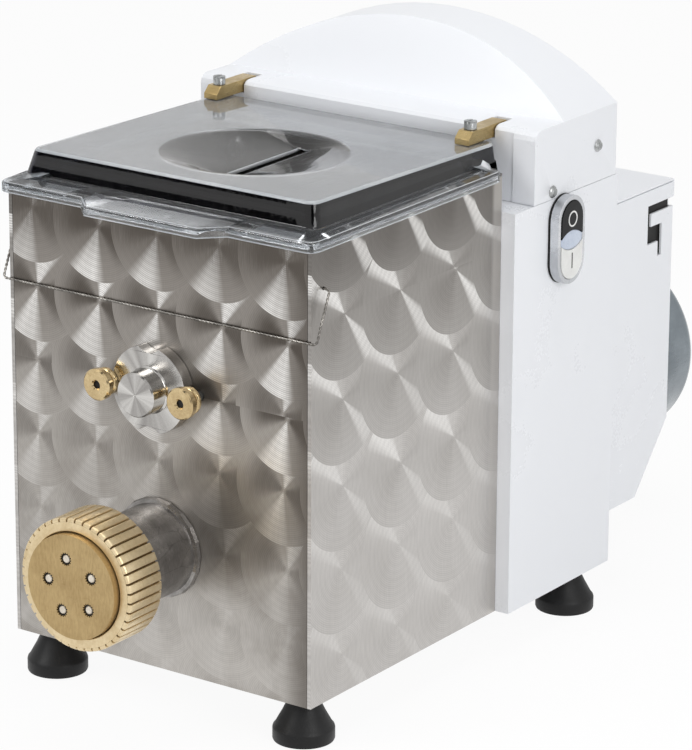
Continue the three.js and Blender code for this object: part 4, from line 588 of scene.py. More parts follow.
def copies_tree(name, on_circle):
    """Instances the incoming shape round a circle, or the shape input at each incoming point."""
    own = {"Count": "Int", "Radius": "Float"} if on_circle else {"Shape": "Object"}
    inputs = {"Geometry": "Geometry", "Finish": "Material", **own}
    graph, take, give = new_group(name, "GeometryNodeTree", inputs, {"Geometry": "Geometry"})
    if on_circle:
        ring = graph.out("GeometryNodeCurvePrimitiveCircle", "Curve", Resolution=take["Count"],
                         Radius=take["Radius"])
        points = graph.out("GeometryNodeCurveToPoints", "Points", Curve=ring, Count=take["Count"])
        turn = graph.out("FunctionNodeAlignEulerToVector", "Rotation", axis="X", pivot_axis="Z",
                         Vector=graph.out("GeometryNodeInputPosition", 0))
        shape = take["Geometry"]
    else:
        points = take["Geometry"]
        turn = graph.out("GeometryNodeInputNamedAttribute", "Attribute", data_type="FLOAT_VECTOR",
                         Name="turn")
        shape = graph.out("GeometryNodeObjectInfo", "Geometry", Object=take["Shape"])
    copies = graph.out("GeometryNodeInstanceOnPoints", "Instances", Points=points, Instance=shape,
                       Rotation=turn)
    real = graph.out("GeometryNodeRealizeInstances", "Geometry", Geometry=copies)
    graph.fill(give, Geometry=graph.out("GeometryNodeSetMaterial", "Geometry", Geometry=real,
                                        Material=take["Finish"]))
    return graph.tree


def evaluated_copies(tree, mesh, material, **values):
    """Runs the tree on a mesh and returns the plain mesh that it makes."""
    values["Finish"] = FINISHES[material]
    holder = placed("copies", mesh)
    modifier = holder.modifiers.new("Copies", "NODES")
    modifier.node_group = tree
    for item in tree.interface.items_tree:
        if item.item_type == "SOCKET" and item.in_out == "INPUT" and item.name in values:
            modifier[item.identifier] = values[item.name]
    holder.update_tag()
    graph = bpy.context.evaluated_depsgraph_get()
    made = bpy.data.meshes.new_from_object(holder.evaluated_get(graph))
    bpy.data.objects.remove(holder)
    return made


def copies_round(shape, count, material):
    """Copies of a shape turned about the axis; the circle needs a radius, so the shape moves in by it."""
    radius = 1.0
    bmesh.ops.translate(shape, verts=shape.verts, vec=(-radius, 0, 0))
    bmesh.ops.recalc_face_normals(shape, faces=shape.faces)
    return evaluated_copies(TREES["circle"], as_mesh(shape), material, Count=count, Radius=radius)


def copies_at(shape, places, material):
    """A shape made of copies at places of (point, turn)."""
    source = placed("shape", as_mesh(shape))
    points = bpy.data.meshes.new("places")
    points.from_pydata([point for point, _ in places], [], [])
    turn = points.attributes.new("turn", "FLOAT_VECTOR", "POINT")
    for i, (_, euler) in enumerate(places):
        turn.data[i].vector = euler
    made = bmesh.new()
    made.from_mesh(evaluated_copies(TREES["places"], points, material, Shape=source))
    bpy.data.objects.remove(source)
    return made


# Pieces
def build_barrel():
    radius, bore, mouth = 28.6, 26.0, -BARREL[0].y - 0.6
    profile = [(bore, 0.4), (radius - 0.6, 0.4), (radius, 1.0), (radius, mouth), (bore, mouth)]
    to_object("barrel_sleeve", lathe(profile, 96, AUGER_AXIS), "barrel_steel", angle=30)
    rings = []
    steps, around = 220, 10
    for i in range(steps):
        angle = 2 * math.pi * i / steps
        wobble = sum(size * math.sin(angle * waves + start)
                     for size, waves, start in ((0.35, 37, 0), (0.3, 23, 1.3), (0.25, 9, 0.4)))
        bead = 1.5 + 0.2 * math.sin(angle * 61 + math.sin(angle * 5) * 2) + 0.25 * wobble
        ring = []
        for j in range(around):
            turn = 2 * math.pi * j / around
            x, z = polar(radius + 0.2 + 0.25 * wobble + bead * math.cos(turn), angle, 0.0, AUGER_Z)
            ring.append(Vector((x, -0.9 + bead * 0.75 * math.sin(turn), z)))
        rings.append(ring)
    to_object("weld_bead", bridge_rings([*rings, rings[0]], False), "weld_steel", angle=50)


def serrated(radius, depth, teeth, a, b):
    """A hole's outline with square teeth: flat for a share of each tooth, then cut out to the depth."""
    tooth = ((0.0, radius), (0.38, radius), (0.5, radius + depth), (0.88, radius + depth))
    return [polar(reach, 2 * math.pi * (i + share) / teeth, a, b) for i in range(teeth) for share, reach in tooth]


def build_die():
    face, back, plate, front = -DIE[0].y, -DIE[1].y, -CORES[1].y, -CORES[0].y
    hole_circle, first_hole, thickness = 17.3, 102, 8.0
    places = [polar(hole_circle, math.radians(first_hole + 72 * i)) for i in range(5)]
    matrix = facing_front(0, thickness - face, AUGER_Z) @ Matrix.Scale(-1, 4, (1, 0, 0))
    holes = [serrated(3.55, 0.7, 15, -x, z) for x, z in places]
    shape = outline_plate(circle(32.4, 96), holes, thickness, matrix)
    lathe([(32.3, back), (35.2, back), (35.2, face - 11.2), (32.3, face - 11.2)], 96, AUGER_AXIS, shape)
    to_object("die_face", shape, "die_bronze", "die", stands_for=("die_plate",), bevel=0.35, steps=3, angle=50)
    cores = bmesh.new()
    # painted shade: a black disc behind the die in place of the core spider, and a black disc a little inside
    # each hole
    dark = lathe([(0, face - 8.6), (31.5, face - 8.6), (31.5, plate + 1.5), (0, plate + 1.5)], 64, AUGER_AXIS)
    core = [(0, front), (2.0, front), (2.4, front - 0.4), (2.4, plate + 2.0), (0, plate + 2.0)]
    hole_shade = [(0, face - 1.3), (4.6, face - 1.3), (4.6, face - 2.3), (0, face - 2.3)]
    for x, z in places:
        axis = facing_front(x, 0, AUGER_Z + z)
        lathe(core, 32, axis, cores)
        lathe(hole_shade, 32, axis, dark)
    to_object("die_cores", cores, "core_metal", "die")
    to_object("die_core_plate", dark, "gap_black", "die", ("die_core_spider",))


def build_ring_nut():
    sizes = bpy.context.scene.pasta_sizes
    face, back, radius = -RING[0].y, -RING[1].y, (RING[1].z - RING[0].z) / 2
    groove = radius - sizes.groove_depth / MM
    shape = lathe([(33.1, face - 0.5), (33.6, face), (groove - 0.3, face), (groove, face - 0.3),
                   (groove, back + 0.8), (groove - 0.8, back), (30.0, back), (30.0, back + 10),
                   (35.7, back + 14.4), (35.7, face - 6.6), (33.1, face - 6.9)], 128)
    # the groove roots take the second finish, a darker brass for the painted shade in the grooves
    for side in shape.faces:
        middle = side.calc_center_median()
        if math.hypot(middle.x, middle.y) > groove - 0.6 and middle.z < face - 0.1:
            side.material_index = 1
    shape.transform(AUGER_AXIS)
    half_land, root = math.pi / sizes.groove_count * 0.8, groove - 1.2
    rings = []
    # Along each land: the height and how far its top drops there; across it: the share of its half width
    for height, drop in ((face - 0.06, 1.3), (face - 0.3, 0.7), (face - 0.9, 0.2), (face - 1.6, 0.0),
                         (back + 1.6, 0.0), (back + 0.5, 0.5), (back, 1.4)):
        section = [(share, radius - max(drop, edge_drop)) for share, edge_drop in (
            (-1.0, 0.55), (-0.96, 0.15), (-0.85, 0), (-0.4, 0), (0.0, 0), (0.4, 0), (0.85, 0), (0.96, 0.15),
            (1.0, 0.55))]
        section += [(share, root) for share in (1.0, 0.0, -1.0)]
        rings.append([Vector((*polar(reach, half_land * share), height)) for share, reach in section])
    lands = copies_round(bridge_rings(rings), sizes.groove_count, "ring_brass")
    lands.transform(AUGER_AXIS)
    plain = len(shape.faces)
    shape.from_mesh(lands)
    shape.faces.ensure_lookup_table()
    for side in shape.faces[plain:]:
        side.material_index = 0
    piece = to_object("ring_nut_grooved", shape, "ring_brass", "ring", stands_for=("ring_nut",), angle=28)
    piece.data.materials.append(FINISHES["groove_brass"])


def lobed_outline():
    """The bearing flange: a disc scalloped beside each thumb nut and at the top and bottom."""
    points = []
    disc_radius = 27.3
    cuts = ((7.0, (31.2, 0)), (7.0, (-31.2, 0)), (10.0, (0, 33.0)), (10.0, (0, -33.0)))
    for i in range(360):
        direction = Vector(polar(1.0, math.radians(i)))
        reach = disc_radius
        for radius, centre in cuts:
            along = Vector(centre).dot(direction)
            off = Vector(centre).length_squared - along * along
            if along > 0 and off < radius * radius:
                reach = min(reach, along - math.sqrt(radius * radius - off))
        points.append(direction * reach)
    return [tuple((points[i - 1] + points[i] + points[(i + 1) % 360]) / 3) for i in range(360)]


def build_flange():
    front, reach = 9.0, -FLANGE[0].y
    shape = outline_plate(lobed_outline(), [], front - 0.3, facing_front(0, -0.3, MIXER_Z))
    to_object("bearing_flange_plate", shape, "turned_hub",
              stands_for=("mixer_bearing_flange",), bevel=1.1, steps=3, angle=40)
    hub = [(0, reach - 0.35), (0.7, reach - 0.35), (0.9, reach), (12.9, reach), (13.75, reach - 0.85),
           (13.75, front + 1.2), (14.3, front + 0.4), (15.0, front - 0.2), (0, front - 0.2)]
    to_object("bearing_hub", lathe(hub, 96, MIXER_AXIS), "turned_hub", angle=25)
    for word in WORDS:
        node = f"thumb_nut_{word}"
        low, high = part_box(node)
        head, root, axis = -low.y, -high.y, facing_front(part_middle(node)[0], 0, MIXER_Z)
        nut = lathe([(2.4, head - 0.9), (3.3, head), (8.9, head), (9.85, head - 0.9), (9.85, head - 4.4),
                     (9.0, head - 5.3), (7.2, head - 5.7), (6.8, head - 6.4), (6.9, head - 7.6),
                     (8.2, head - 8.3), (8.6, head - 8.9), (8.6, root + 0.4), (8.2, root), (3.4, root),
                     (3.4, head - 2.6), (2.4, head - 2.6)], 64, axis)
        # painted shade: a black disc inside the nut's bore
        bore_shade = lathe([(0, head - 2.2), (3.5, head - 2.2), (3.5, head - 2.8), (0, head - 2.8)], 32, axis)
        to_object(f"{node}_hollow", bore_shade, "gap_black", f"{node}_body")
        to_object(f"{node}_turned", nut, "nut_brass", f"{node}_body", (node,), angle=30)


LID_LEFT, LID_RIGHT, LID_FRONT, LID_REAR = LID[0].x, LID[1].x, -3.3, 197.7
LID_BOTTOM, LIP_TOP = LID[0].z, 317.9
LIP_REAR_HALF, LIP_FRONT_HALF, LIP_REACH = 54.6, 41.5, 13.1
TOP_LEFT, TOP_RIGHT, TOP_FRONT, TOP_REAR = -118.2, 99.4, 20.8, 216.0
TOP_FRONT_Z, TOP_REAR_Z = 333.8, 328.9
FUNNEL_X, FUNNEL_Y, FUNNEL_RADIUS, FUNNEL_DEPTH = -3.0, 101.6, 59.0, 10.0
SLOT_HALF_WIDTH, SLOT_HALF_LENGTH, SLOT_Y = 8.7 / 2, 77.5 / 2, FUNNEL_Y + 12.5


def top_z(y):
    """Height of the lid's sloping top."""
    return TOP_FRONT_Z + (TOP_REAR_Z - TOP_FRONT_Z) * (y - TOP_FRONT) / (TOP_REAR - TOP_FRONT)


def lid_ring(left, right, front, rear, corner, height, lip=0.0):
    """One ring of the lid's skin: a rounded rectangle that starts at the front left, jutting by the lip."""
    half = [15, 30, LIP_FRONT_HALF, LIP_FRONT_HALF + 1.0, LIP_REAR_HALF - 1.5, LIP_REAR_HALF]
    low, high, fore, aft = left + corner, right - corner, front + corner, rear - corner

    def along(start, end, count=24):
        return [start + (end - start) * i / count for i in range(1, count + 1)]

    def round_corner(a, b, start):
        return arc(a, b, corner, start, start + 90, 8)[1:]

    xs = [low, *along(low, -LIP_REAR_HALF, 6)[:-1], *(-x for x in reversed(half)), 0, *half,
          *along(LIP_REAR_HALF, high, 6)]
    points = []
    for x in xs:
        share = (LIP_REAR_HALF - abs(x)) / (LIP_REAR_HALF - LIP_FRONT_HALF)
        points.append((x, front - lip * min(1.0, max(0.0, share))))
    points += round_corner(high, fore, -90) + [(right, y) for y in along(fore, aft)]
    points += round_corner(high, aft, 0) + [(x, rear) for x in along(high, low)]
    points += round_corner(low, aft, 90) + [(left, y) for y in along(aft, fore)]
    points += round_corner(low, fore, 180)[:-1]
    return [Vector((x, y, height(y))) for x, y in points]


def funnel_ring(model, share, fall):
    """A ring between the funnel's circle (share 0) and its slot (share 1), matched to a ring's points."""
    ring = []
    floor_z = top_z(FUNNEL_Y) - FUNNEL_DEPTH
    for point in model:
        angle = math.degrees(math.atan2(point.y - FUNNEL_Y, point.x - FUNNEL_X)) % 360
        circle_x, circle_y = polar(FUNNEL_RADIUS, math.radians(angle), FUNNEL_X, FUNNEL_Y)
        # The slot's long sides take 110 degrees each and its short ends 70
        signed = (angle + 55) % 360 - 55
        if signed <= 55:
            across, along = SLOT_HALF_WIDTH, SLOT_HALF_LENGTH * signed / 55
        elif signed <= 125:
            across, along = SLOT_HALF_WIDTH * (90 - signed) / 35, SLOT_HALF_LENGTH
        elif signed <= 235:
            across, along = -SLOT_HALF_WIDTH, SLOT_HALF_LENGTH * (180 - signed) / 55
        else:
            across, along = SLOT_HALF_WIDTH * (signed - 270) / 35, -SLOT_HALF_LENGTH
        ring.append(Vector((circle_x + (FUNNEL_X + across - circle_x) * share,
                            circle_y + (SLOT_Y + along - circle_y) * share,
                            top_z(circle_y) + (floor_z - top_z(circle_y)) * fall)))
    return ring


def build_lid():
    rings = []
    for inset, height in ((0, LID_BOTTOM), (0, LID_BOTTOM + 0.5), (0, LIP_TOP - 1.5), (0.25, LIP_TOP - 0.7),
                          (0.8, LIP_TOP - 0.2), (1.6, LIP_TOP)):
        rings.append(lid_ring(LID_LEFT + inset, LID_RIGHT - inset, LID_FRONT + inset,
                              LID_REAR - min(inset, 0.4), 7.5, lambda y, height=height: height, LIP_REACH))
    # How far up the drafted wall, how far in, the height there and the corner's radius
    for share, inward, height, corner in (
            (0, -0.75, lambda y: LIP_TOP, 7.6), (0, -0.5, lambda y: LIP_TOP + 0.12, 7.5),
            (0.02, 0.0, lambda y: LIP_TOP + 0.9, 7.0), (0.5, 0.0, lambda y: (LIP_TOP + top_z(y)) / 2, 7.0),
            (0.94, 0.0, lambda y: top_z(y) - 1.6, 7.0), (1.0, 0.25, lambda y: top_z(y) - 0.75, 7.0),
            (1.0, 0.8, lambda y: top_z(y) - 0.2, 6.6), (1.0, 1.7, top_z, 6.0), (1.0, 2.6, top_z, 5.4),
            (1.0, 4.0, top_z, 4.6)):
        rings.append(lid_ring(TOP_LEFT + 5.0 * share + inward, TOP_RIGHT - 1.5 * share - inward,
                              TOP_FRONT + 1.5 * share + inward, TOP_REAR - inward, corner, height))
    model = rings[-1]
    edge = (FUNNEL_RADIUS + 1.5) / FUNNEL_RADIUS
    for grown in (edge * 1.03, edge):
        flat = []
        for point in funnel_ring(model, 0.0, 0.0):
            x, y = FUNNEL_X + (point.x - FUNNEL_X) * grown, FUNNEL_Y + (point.y - FUNNEL_Y) * grown
            flat.append(Vector((x, y, top_z(y))))
        rings.append(flat)
    for share in (0.02, 0.06, 0.12, 0.25, 0.4, 0.55, 0.7, 0.82, 0.9, 0.95, 0.985, 1.0):
        rings.append(funnel_ring(model, share, share ** 1.12 if share > 0.1 else share * 0.8))
    skin = bridge_rings(rings, False)
    count, last = len(rings[0]), len(rings) - 2
    # The rows between rings that have a finish of their own; the drafted wall and the funnel carry painted shade,
    # the edges painted highlight
    finishes = {"shaded_wall_plastic": range(7, 10), "plastic_edge": (0, 4, 10, 11, 12, last),
                "bowl_plastic": range(18, last), "lip_plastic": range(7)}
    for i, face in enumerate(list(skin.faces)):
        face.material_index = next((index for index, rows in enumerate(finishes.values(), 1)
                                    if i // count in rows), 0)
    bmesh.ops.recalc_face_normals(skin, faces=skin.faces)
    if skin.faces[0].normal.y > 0:
        bmesh.ops.reverse_faces(skin, faces=skin.faces)
    piece = to_object("lid_cover", skin, "clear_plastic", "lid", stands_for=("lid",), angle=50, merged=False)
    for key in finishes:
        piece.data.materials.append(FINISHES[key])
    thick = piece.modifiers.new("Wall", "SOLIDIFY")
    thick.thickness, thick.offset = bpy.context.scene.pasta_sizes.lid_wall, -1.0
    thick.use_even_offset = True
    for word in WORDS:
        bar = f"hinge_bar_{word}"
        to_object(f"{bar}_rounded", copy_of(bar), "bar_brass", "lid", stands_for=(bar,), bevel=0.5, angle=40)


def rounded_path(points, radius, steps=8):
    """A path of points whose corners are rounded to about the radius."""
    path = [points[0]]
    for before, corner, after in zip(points, points[1:], points[2:]):
        to_before, to_after = (before - corner).normalized(), (after - corner).normalized()
        half = to_before.angle(to_after) / 2
        cut = min(radius / math.tan(half), (before - corner).length * 0.45, (after - corner).length * 0.45)
        start, end = corner + to_before * cut, corner + to_after * cut
        for i in range(steps + 1):
            share = i / steps
            path.append(start * (1 - share) ** 2 + corner * 2 * share * (1 - share) + end * share ** 2)
    return [*path, points[-1]]


def spaced(path, gap):
    """Points along a path no further apart than the gap."""
    result = [path[0]]
    for start, end in zip(path, path[1:]):
        count = max(1, math.ceil((end - start).length / gap))
        result += [start.lerp(end, (i + 1) / count) for i in range(count)]
    return result


def twisted_wire(points, radius, count, twist, lobes):
    """A wire of two strands twisted together along a path of points."""
    rings = []
    side, run = None, 0.0
    for i, point in enumerate(points):
        ahead = (points[min(i + 1, len(points) - 1)] - points[max(i - 1, 0)]).normalized()
        if side is None:
            side = ahead.orthogonal().normalized()
        side = (side - ahead * side.dot(ahead)).normalized()
        up = ahead.cross(side)
        run += (point - points[i - 1]).length if i else 0.0
        ring = []
        for j in range(count):
            angle = 2 * math.pi * j / count
            grown = radius * (1 - lobes + lobes * math.cos(2 * (angle - twist * run)))
            ring.append(point + (side * math.cos(angle) + up * math.sin(angle)) * grown)
        rings.append(ring)
    return bridge_rings(rings)


def build_bail():
    leg_x, pivot_y, pivot_z = 117.0, 12.0, BOX_TOP - 25.9
    half = [(110.5, pivot_y, pivot_z), (leg_x, pivot_y, pivot_z), (leg_x, -1.1, 256.8)]
    corners = half + [(-x, y, z) for x, y, z in reversed(half)]
    path = rounded_path([Vector(corner) for corner in corners], 3.0)
    wire = twisted_wire(spaced(path, 0.9), radius=0.9, count=8, twist=1.1, lobes=0.24)
    to_object("twisted_bail", wire, "wire_steel", "bail", stands_for=("wire_bail",), angle=60)


def build_hood():
    to_object("hood_cover", copy_of("hood"), "white_paint", stands_for=("hood",),
              bevel=bpy.context.scene.pasta_sizes.hood_fold / MM, steps=4, angle=24)


def recess_bars(turns, half_length, width, rise):
    """Narrow black bars let into a screw head of the given rise, as painted shade in its recess."""
    shape = bmesh.new()
    for turn in turns:
        bmesh.ops.create_cube(shape, size=1.0, matrix=Matrix.Rotation(turn, 4, "Z")
                              @ Matrix.Translation((0, 0, rise * 0.75))
                              @ Matrix.Diagonal((2 * half_length, width, rise * 0.5, 1)))
    return shape


def build_screws():
    hood, bars, bolts = [], [], []
    hood_rise, bar_rise, bolt_rise, bar_turn = 1.85, 5.0, 2.6, 0.3
    for end in ("front", "rear"):
        for word, out in zip(WORDS, (1, -1)):
            node = f"hood_screw_{end}_{word}"
            (low, high), (_, y, z) = part_box(node), part_middle(node)
            x = high.x - hood_rise if out > 0 else low.x + hood_rise
            hood.append(((x, y, z), (0, math.radians(90 * out), 0)))
    for word in WORDS:
        x, y, _ = part_middle(f"bar_screw_{word}")
        bars.append(((x, y, part_box(f"bar_screw_{word}")[1].z - bar_rise), (0, 0, bar_turn)))
        x, _, z = part_middle(f"tub_bolt_{word}")
        bolts.append(((x, part_box(f"tub_bolt_{word}")[0].y + bolt_rise, z), (math.radians(90), 0, 0)))
    hood_head = [(0, 1.764), (1.6, 1.62), (2.88, 1.188), (3.76, 0.45), (4.0, 0.0), (0, 0)]
    bar_head = [(0, 4.9), (2.6, 4.9), (3.6, 4.5), (4.0, 3.8), (4.0, 0.0), (0, 0)]
    bolt_head = [(0, 2.6), (2.6, 2.45), (4.4, 1.9), (5.2, 1.0), (5.3, 0.45), (6.9, 0.4), (6.9, 0.0), (0, 0)]
    for name, shape, places, body in (
            ("hood_screw_heads", lathe(hood_head, 28), hood, "frame"),
            ("hood_screw_recesses", recess_bars((0.5, 0.5 + math.pi / 2), 2.48, 1.04, 1.8), hood, "frame"),
            ("bar_screw_heads", lathe(bar_head, 32), bars, "lid"),
            ("bar_screw_slots", recess_bars((0.5,), 3.354, 1.014, 4.9), bars, "lid"),
            ("tub_bolt_domes", lathe(bolt_head, 36), bolts, "frame")):
        recess = name.endswith(("recesses", "slots"))
        # black in the recesses and slots is painted shade
        material = "gap_black" if recess else "fasteners"
        to_object(name, copies_at(shape, places, material), material, body,
                  angle=35 if recess else 30, merged=not recess)


def facing_right(x):
    """Puts a shape drawn in (y, z) and standing on +Z onto the right side of the column."""
    return Matrix(((0, 0, 1, x), (1, 0, 0, 0), (0, 1, 0, 0), (0, 0, 0, 1)))


def build_switch():
    _, y, z = part_middle("switch_bezel")
    width, height, rim = BEZEL[1].y - BEZEL[0].y, BEZEL[1].z - BEZEL[0].z, 5.8
    gasket = outline_plate(stadium(y, z, width + 0.6, height + 0.6), [stadium(y, z, 20, 46)],
                           GASKET[1].x - GASKET[0].x, facing_right(GASKET[0].x))
    to_object("gasket_plate", gasket, "black_rubber", stands_for=("switch_gasket",), bevel=0.25, angle=40)
    bezel = outline_plate(stadium(y, z, width, height), [stadium(y, z, width - rim, height - rim)],
                          BEZEL[1].x - BEZEL[0].x, facing_right(BEZEL[0].x))
    to_object("bezel_ring", bezel, "bezel_metal", stands_for=("switch_bezel",), bevel=1.3, steps=4, angle=40)
    for word, material in (("stop", "black_plastic"), ("start", "white_plastic")):
        button = copy_of(f"{word}_button")
        outer = max(vertex.co.x for vertex in button.verts)
        for vertex in button.verts:
            if vertex.co.x > outer - 0.01:
                vertex.co.x -= 0.2
        to_object(f"{word}_button_rounded", button, material, word, stands_for=(f"{word}_button",), bevel=0.5,
                  steps=3, angle=40)
    to_object("pilot_lens_rounded", copy_of("pilot_lens"), "lens_plastic", stands_for=("pilot_lens",), bevel=0.4,
              steps=3, angle=40)
    mark_depth, stop_z, start_z = 0.3, z + 13.6, z - 13.4
    on_face = facing_right(part_box("stop_button")[1].x - mark_depth)
    ring = outline_plate(circle(5.1, 48, y, stop_z), [circle(4.1, 48, y, stop_z)], mark_depth, on_face)
    to_object("stop_mark", ring, "white_plastic", "stop")
    line = outline_plate(rectangle(y - 0.4, y + 0.4, start_z - 5, start_z + 5), [], mark_depth, on_face)
    to_object("start_mark", line, "gap_black", "start")


def build_cowl():
    front, rear, radius, sheet, bore = -COWL[0].y, -COWL[1].y, (COWL[1].z - COWL[0].z) / 2, 1.2, 54.0
    bend = bpy.context.scene.pasta_sizes.cowl_bend / MM

    def folded(reach, degrees):
        return [polar(reach, -math.radians(a), radius - bend, rear + bend) for a in degrees]

    profile = [(radius, front), *folded(bend, range(0, 91, 10)), (bore, rear), (bore, rear + sheet),
               *folded(bend - sheet, range(90, -1, -10)), (radius - sheet, front)]
    to_object("cowl_drum", lathe(profile, 128, AUGER_AXIS), "cowl_metal", stands_for=("fan_cowl",), angle=40)
    slots = []
    for i in range(10):
        cosine, sine = math.cos(2 * math.pi * i / 10), math.sin(2 * math.pi * i / 10)
        slots.append([(a * cosine - b * sine, a * sine + b * cosine) for a, b in stadium(0, 33, 6, 34, 8)])
    grille = outline_plate(circle(bore + 0.4, 128), slots, sheet, facing_front(0, -rear, AUGER_Z))
    to_object("cowl_grille", grille, "cowl_metal", bevel=0.3, angle=40)
    band = [(radius - 0.2, front), (radius, front), (radius, front - 3), (radius - 0.2, front - 3)]
    to_object("cowl_front_band", lathe(band, 128, AUGER_AXIS), "cowl_rim")


def build_feet():
    profile = [(0, 0), (17.6, 0), (18.6, 0.4), (19.0, 1.3), (19.0, 7.6), (18.7, 8.7), (17.7, 9.8), (13.0, 18.4),
               (10.2, 24.4), (9.3, 28.1), (4.0, 28.2), (4.0, 37.2), (0, 37.2)]
    for place in ("front_left", "front_right", "rear_left", "rear_right"):
        x, y, _ = part_middle(f"foot_{place}")
        foot = lathe(profile, 64, Matrix.Translation((x, y, 0)))
        to_object(f"foot_{place}_turned", foot, "black_rubber", stands_for=(f"foot_{place}",), angle=40)


def build_rear_cover():
    to_object("rear_cover_lid", copy_of("rear_cover_top"), "white_paint", stands_for=("rear_cover_top",),
              bevel=1.6, steps=4, angle=40)
    high = part_box("rear_cover")[1]
    # painted shade: a black plate just inside the cover behind the hooked slot
    shade_sheet = outline_plate(rectangle(high.y - 37, high.y - 2.5, high.z - 46, high.z - 3), [], 1.0,
                          facing_right(high.x - 3.4))
    to_object("hook_slot_liner", shade_sheet, "gap_black", bevel=0.2, steps=1, angle=40)


def dress_nodes():
    own = {"front_panel": "front_sheet", "side_panel_right": "side_sheet", "side_panel_left": "side_sheet",
           "hopper_tub": "tub_steel"}
    for name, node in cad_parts.items():
        if not node.hide_render:
            wanted = own.get(name) or node.material_slots[0].material.name.split(".")[0]
            node.material_slots[0].material = FINISHES[wanted]


# Stage and camera
def surface(name, corners, material):
    """A four-cornered surface that belongs to the stage."""
    mesh = bpy.data.meshes.new(name)
    mesh.from_pydata(corners, [], [(0, 1, 2, 3)])
    mesh.materials.append(material)
    thing = placed(name, mesh)
    return thing


def plain_material(name, scale, dark, light, roughness):
    """A stage material with a faint cloudy variation between two greys of 0 to 255."""
    material, graph, shader, where = new_material(name)
    tone = graph.mix(graph.noise(where, scale), rgb(dark, dark, dark), rgb(light, light, light))
    graph.fill(shader, Base_Color=tone, Roughness=roughness)
    return material, graph, shader


def ray_kinds(graph):
    """Signals that are 1 for camera, glossy and transmission rays."""
    path = graph.add("ShaderNodeLightPath")
    return [Signal(graph, path.outputs[f"Is {kind} Ray"]) for kind in ("Camera", "Glossy", "Transmission")]


def build_stage():
    scene = bpy.context.scene
    stage = scene.pasta_stage
    scene.view_settings.view_transform = "Standard"
    material, graph, shader = plain_material("pale_floor", 3.0, 246, 252, 0.7)
    camera_ray, glossy, through = ray_kinds(graph)
    glow = graph.math("MAXIMUM", camera_ray, graph.math("MAXIMUM", glossy, through)) * stage.floor_glow
    white = graph.out("ShaderNodeEmission", 0, Color=(1, 1, 1))
    graph.put(material.node_tree.nodes["Material Output"].inputs["Surface"],
              graph.out("ShaderNodeMixShader", 0, glow, Signal(graph, shader.outputs[0]), white))
    surface("floor", [(-6, -6, 0), (6, -6, 0), (6, 6, 0), (-6, 6, 0)], material)

    world = bpy.data.worlds.new("studio")
    world.use_nodes = True
    scene.world = world
    graph = Graph(world.node_tree)
    camera_ray, glossy, through = ray_kinds(graph)
    level = graph.math("MAXIMUM", graph.math("MAXIMUM", camera_ray, through), glossy * stage.mirror_level)
    graph.fill(world.node_tree.nodes["Background"], Color=(1, 1, 1),
               Strength=graph.math("MAXIMUM", level, stage.world_level))

    for name, place, power, size in (("key_lamp", (-900, -1500, 1500), stage.key_power, 900),
                                     ("fill_lamp", (1500, -500, 900), stage.fill_power, 1000),
                                     ("top_lamp", (100, 300, 1900), stage.top_power, 1200)):
        data = bpy.data.lights.new(name, "AREA")
        data.energy, data.shape, data.size = power, "DISK", size * MM
        lamp = placed(name, data)
        lamp.location = place_at(*place)
        lamp.rotation_mode = "QUATERNION"
        lamp.rotation_quaternion = (place_at(0, 150, 190) - lamp.location).to_track_quat("-Z", "Y")

    # Black cards that only the metal and the clear lid mirror
    black, _, _ = plain_material("black_card", 4.0, 10, 26, 0.9)
    for name, (x, y), (far_x, far_y), low, high, leant in (
            ("right_card", (1100, -1300), (1100, -500), 330, 900, False),
            ("left_card", (-1300, -600), (-900, -1400), 420, 900, False),
            ("top_card", (-250, -1200), (150, -500), 1300, 1500, True)):
        corners = [(x, y, low), (far_x, y, low), (far_x, far_y, high), (x, far_y, high)] if leant else \
            [(x, y, low), (far_x, far_y, low), (far_x, far_y, high), (x, y, high)]
        card = surface(name, [place_at(*corner) for corner in corners], black)
        card.visible_camera = card.visible_diffuse = card.visible_shadow = card.visible_transmission = False

    # The camera's angles in degrees, and its place below, are fitted to the photograph
    azimuth, elevation, roll = (math.radians(value) for value in (35.121, 17.996, 0.287))
    back = Vector((math.sin(azimuth) * math.cos(elevation), -math.cos(azimuth) * math.cos(elevation),
                   math.sin(elevation)))
    right = Vector((math.cos(azimuth), math.sin(azimuth), 0))
    rolled = right * math.cos(roll) + back.cross(right) * math.sin(roll)
    data = bpy.data.cameras.new("photo_camera")
    data.sensor_width, data.lens, data.clip_start, data.clip_end = 36, stage.lens, 0.05, 50
    camera = placed("photo_camera", data)
    camera.location = place_at(1441.90, -1855.10, 979.3)
    camera.rotation_mode = "QUATERNION"
    camera.rotation_quaternion = Matrix((rolled, back.cross(rolled), back)).transposed().to_quaternion()
    scene.camera = camera


# Settings that a user may change
def colour(name, description, default):
    """A colour setting whose default is given as 0 to 255."""
    return FloatVectorProperty(name=name, description=description, default=rgb(*default), size=3, min=0, max=1,
                               subtype="COLOR")


def length(name, description, millimetres):
    """A length setting whose default is given in millimetres."""
    return FloatProperty(name=name, description=description, default=millimetres * MM, min=0, unit="LENGTH",
                         subtype="DISTANCE")


def number(name, description, default, unit="NONE"):
    return FloatProperty(name=name, description=description, default=default, unit=unit)


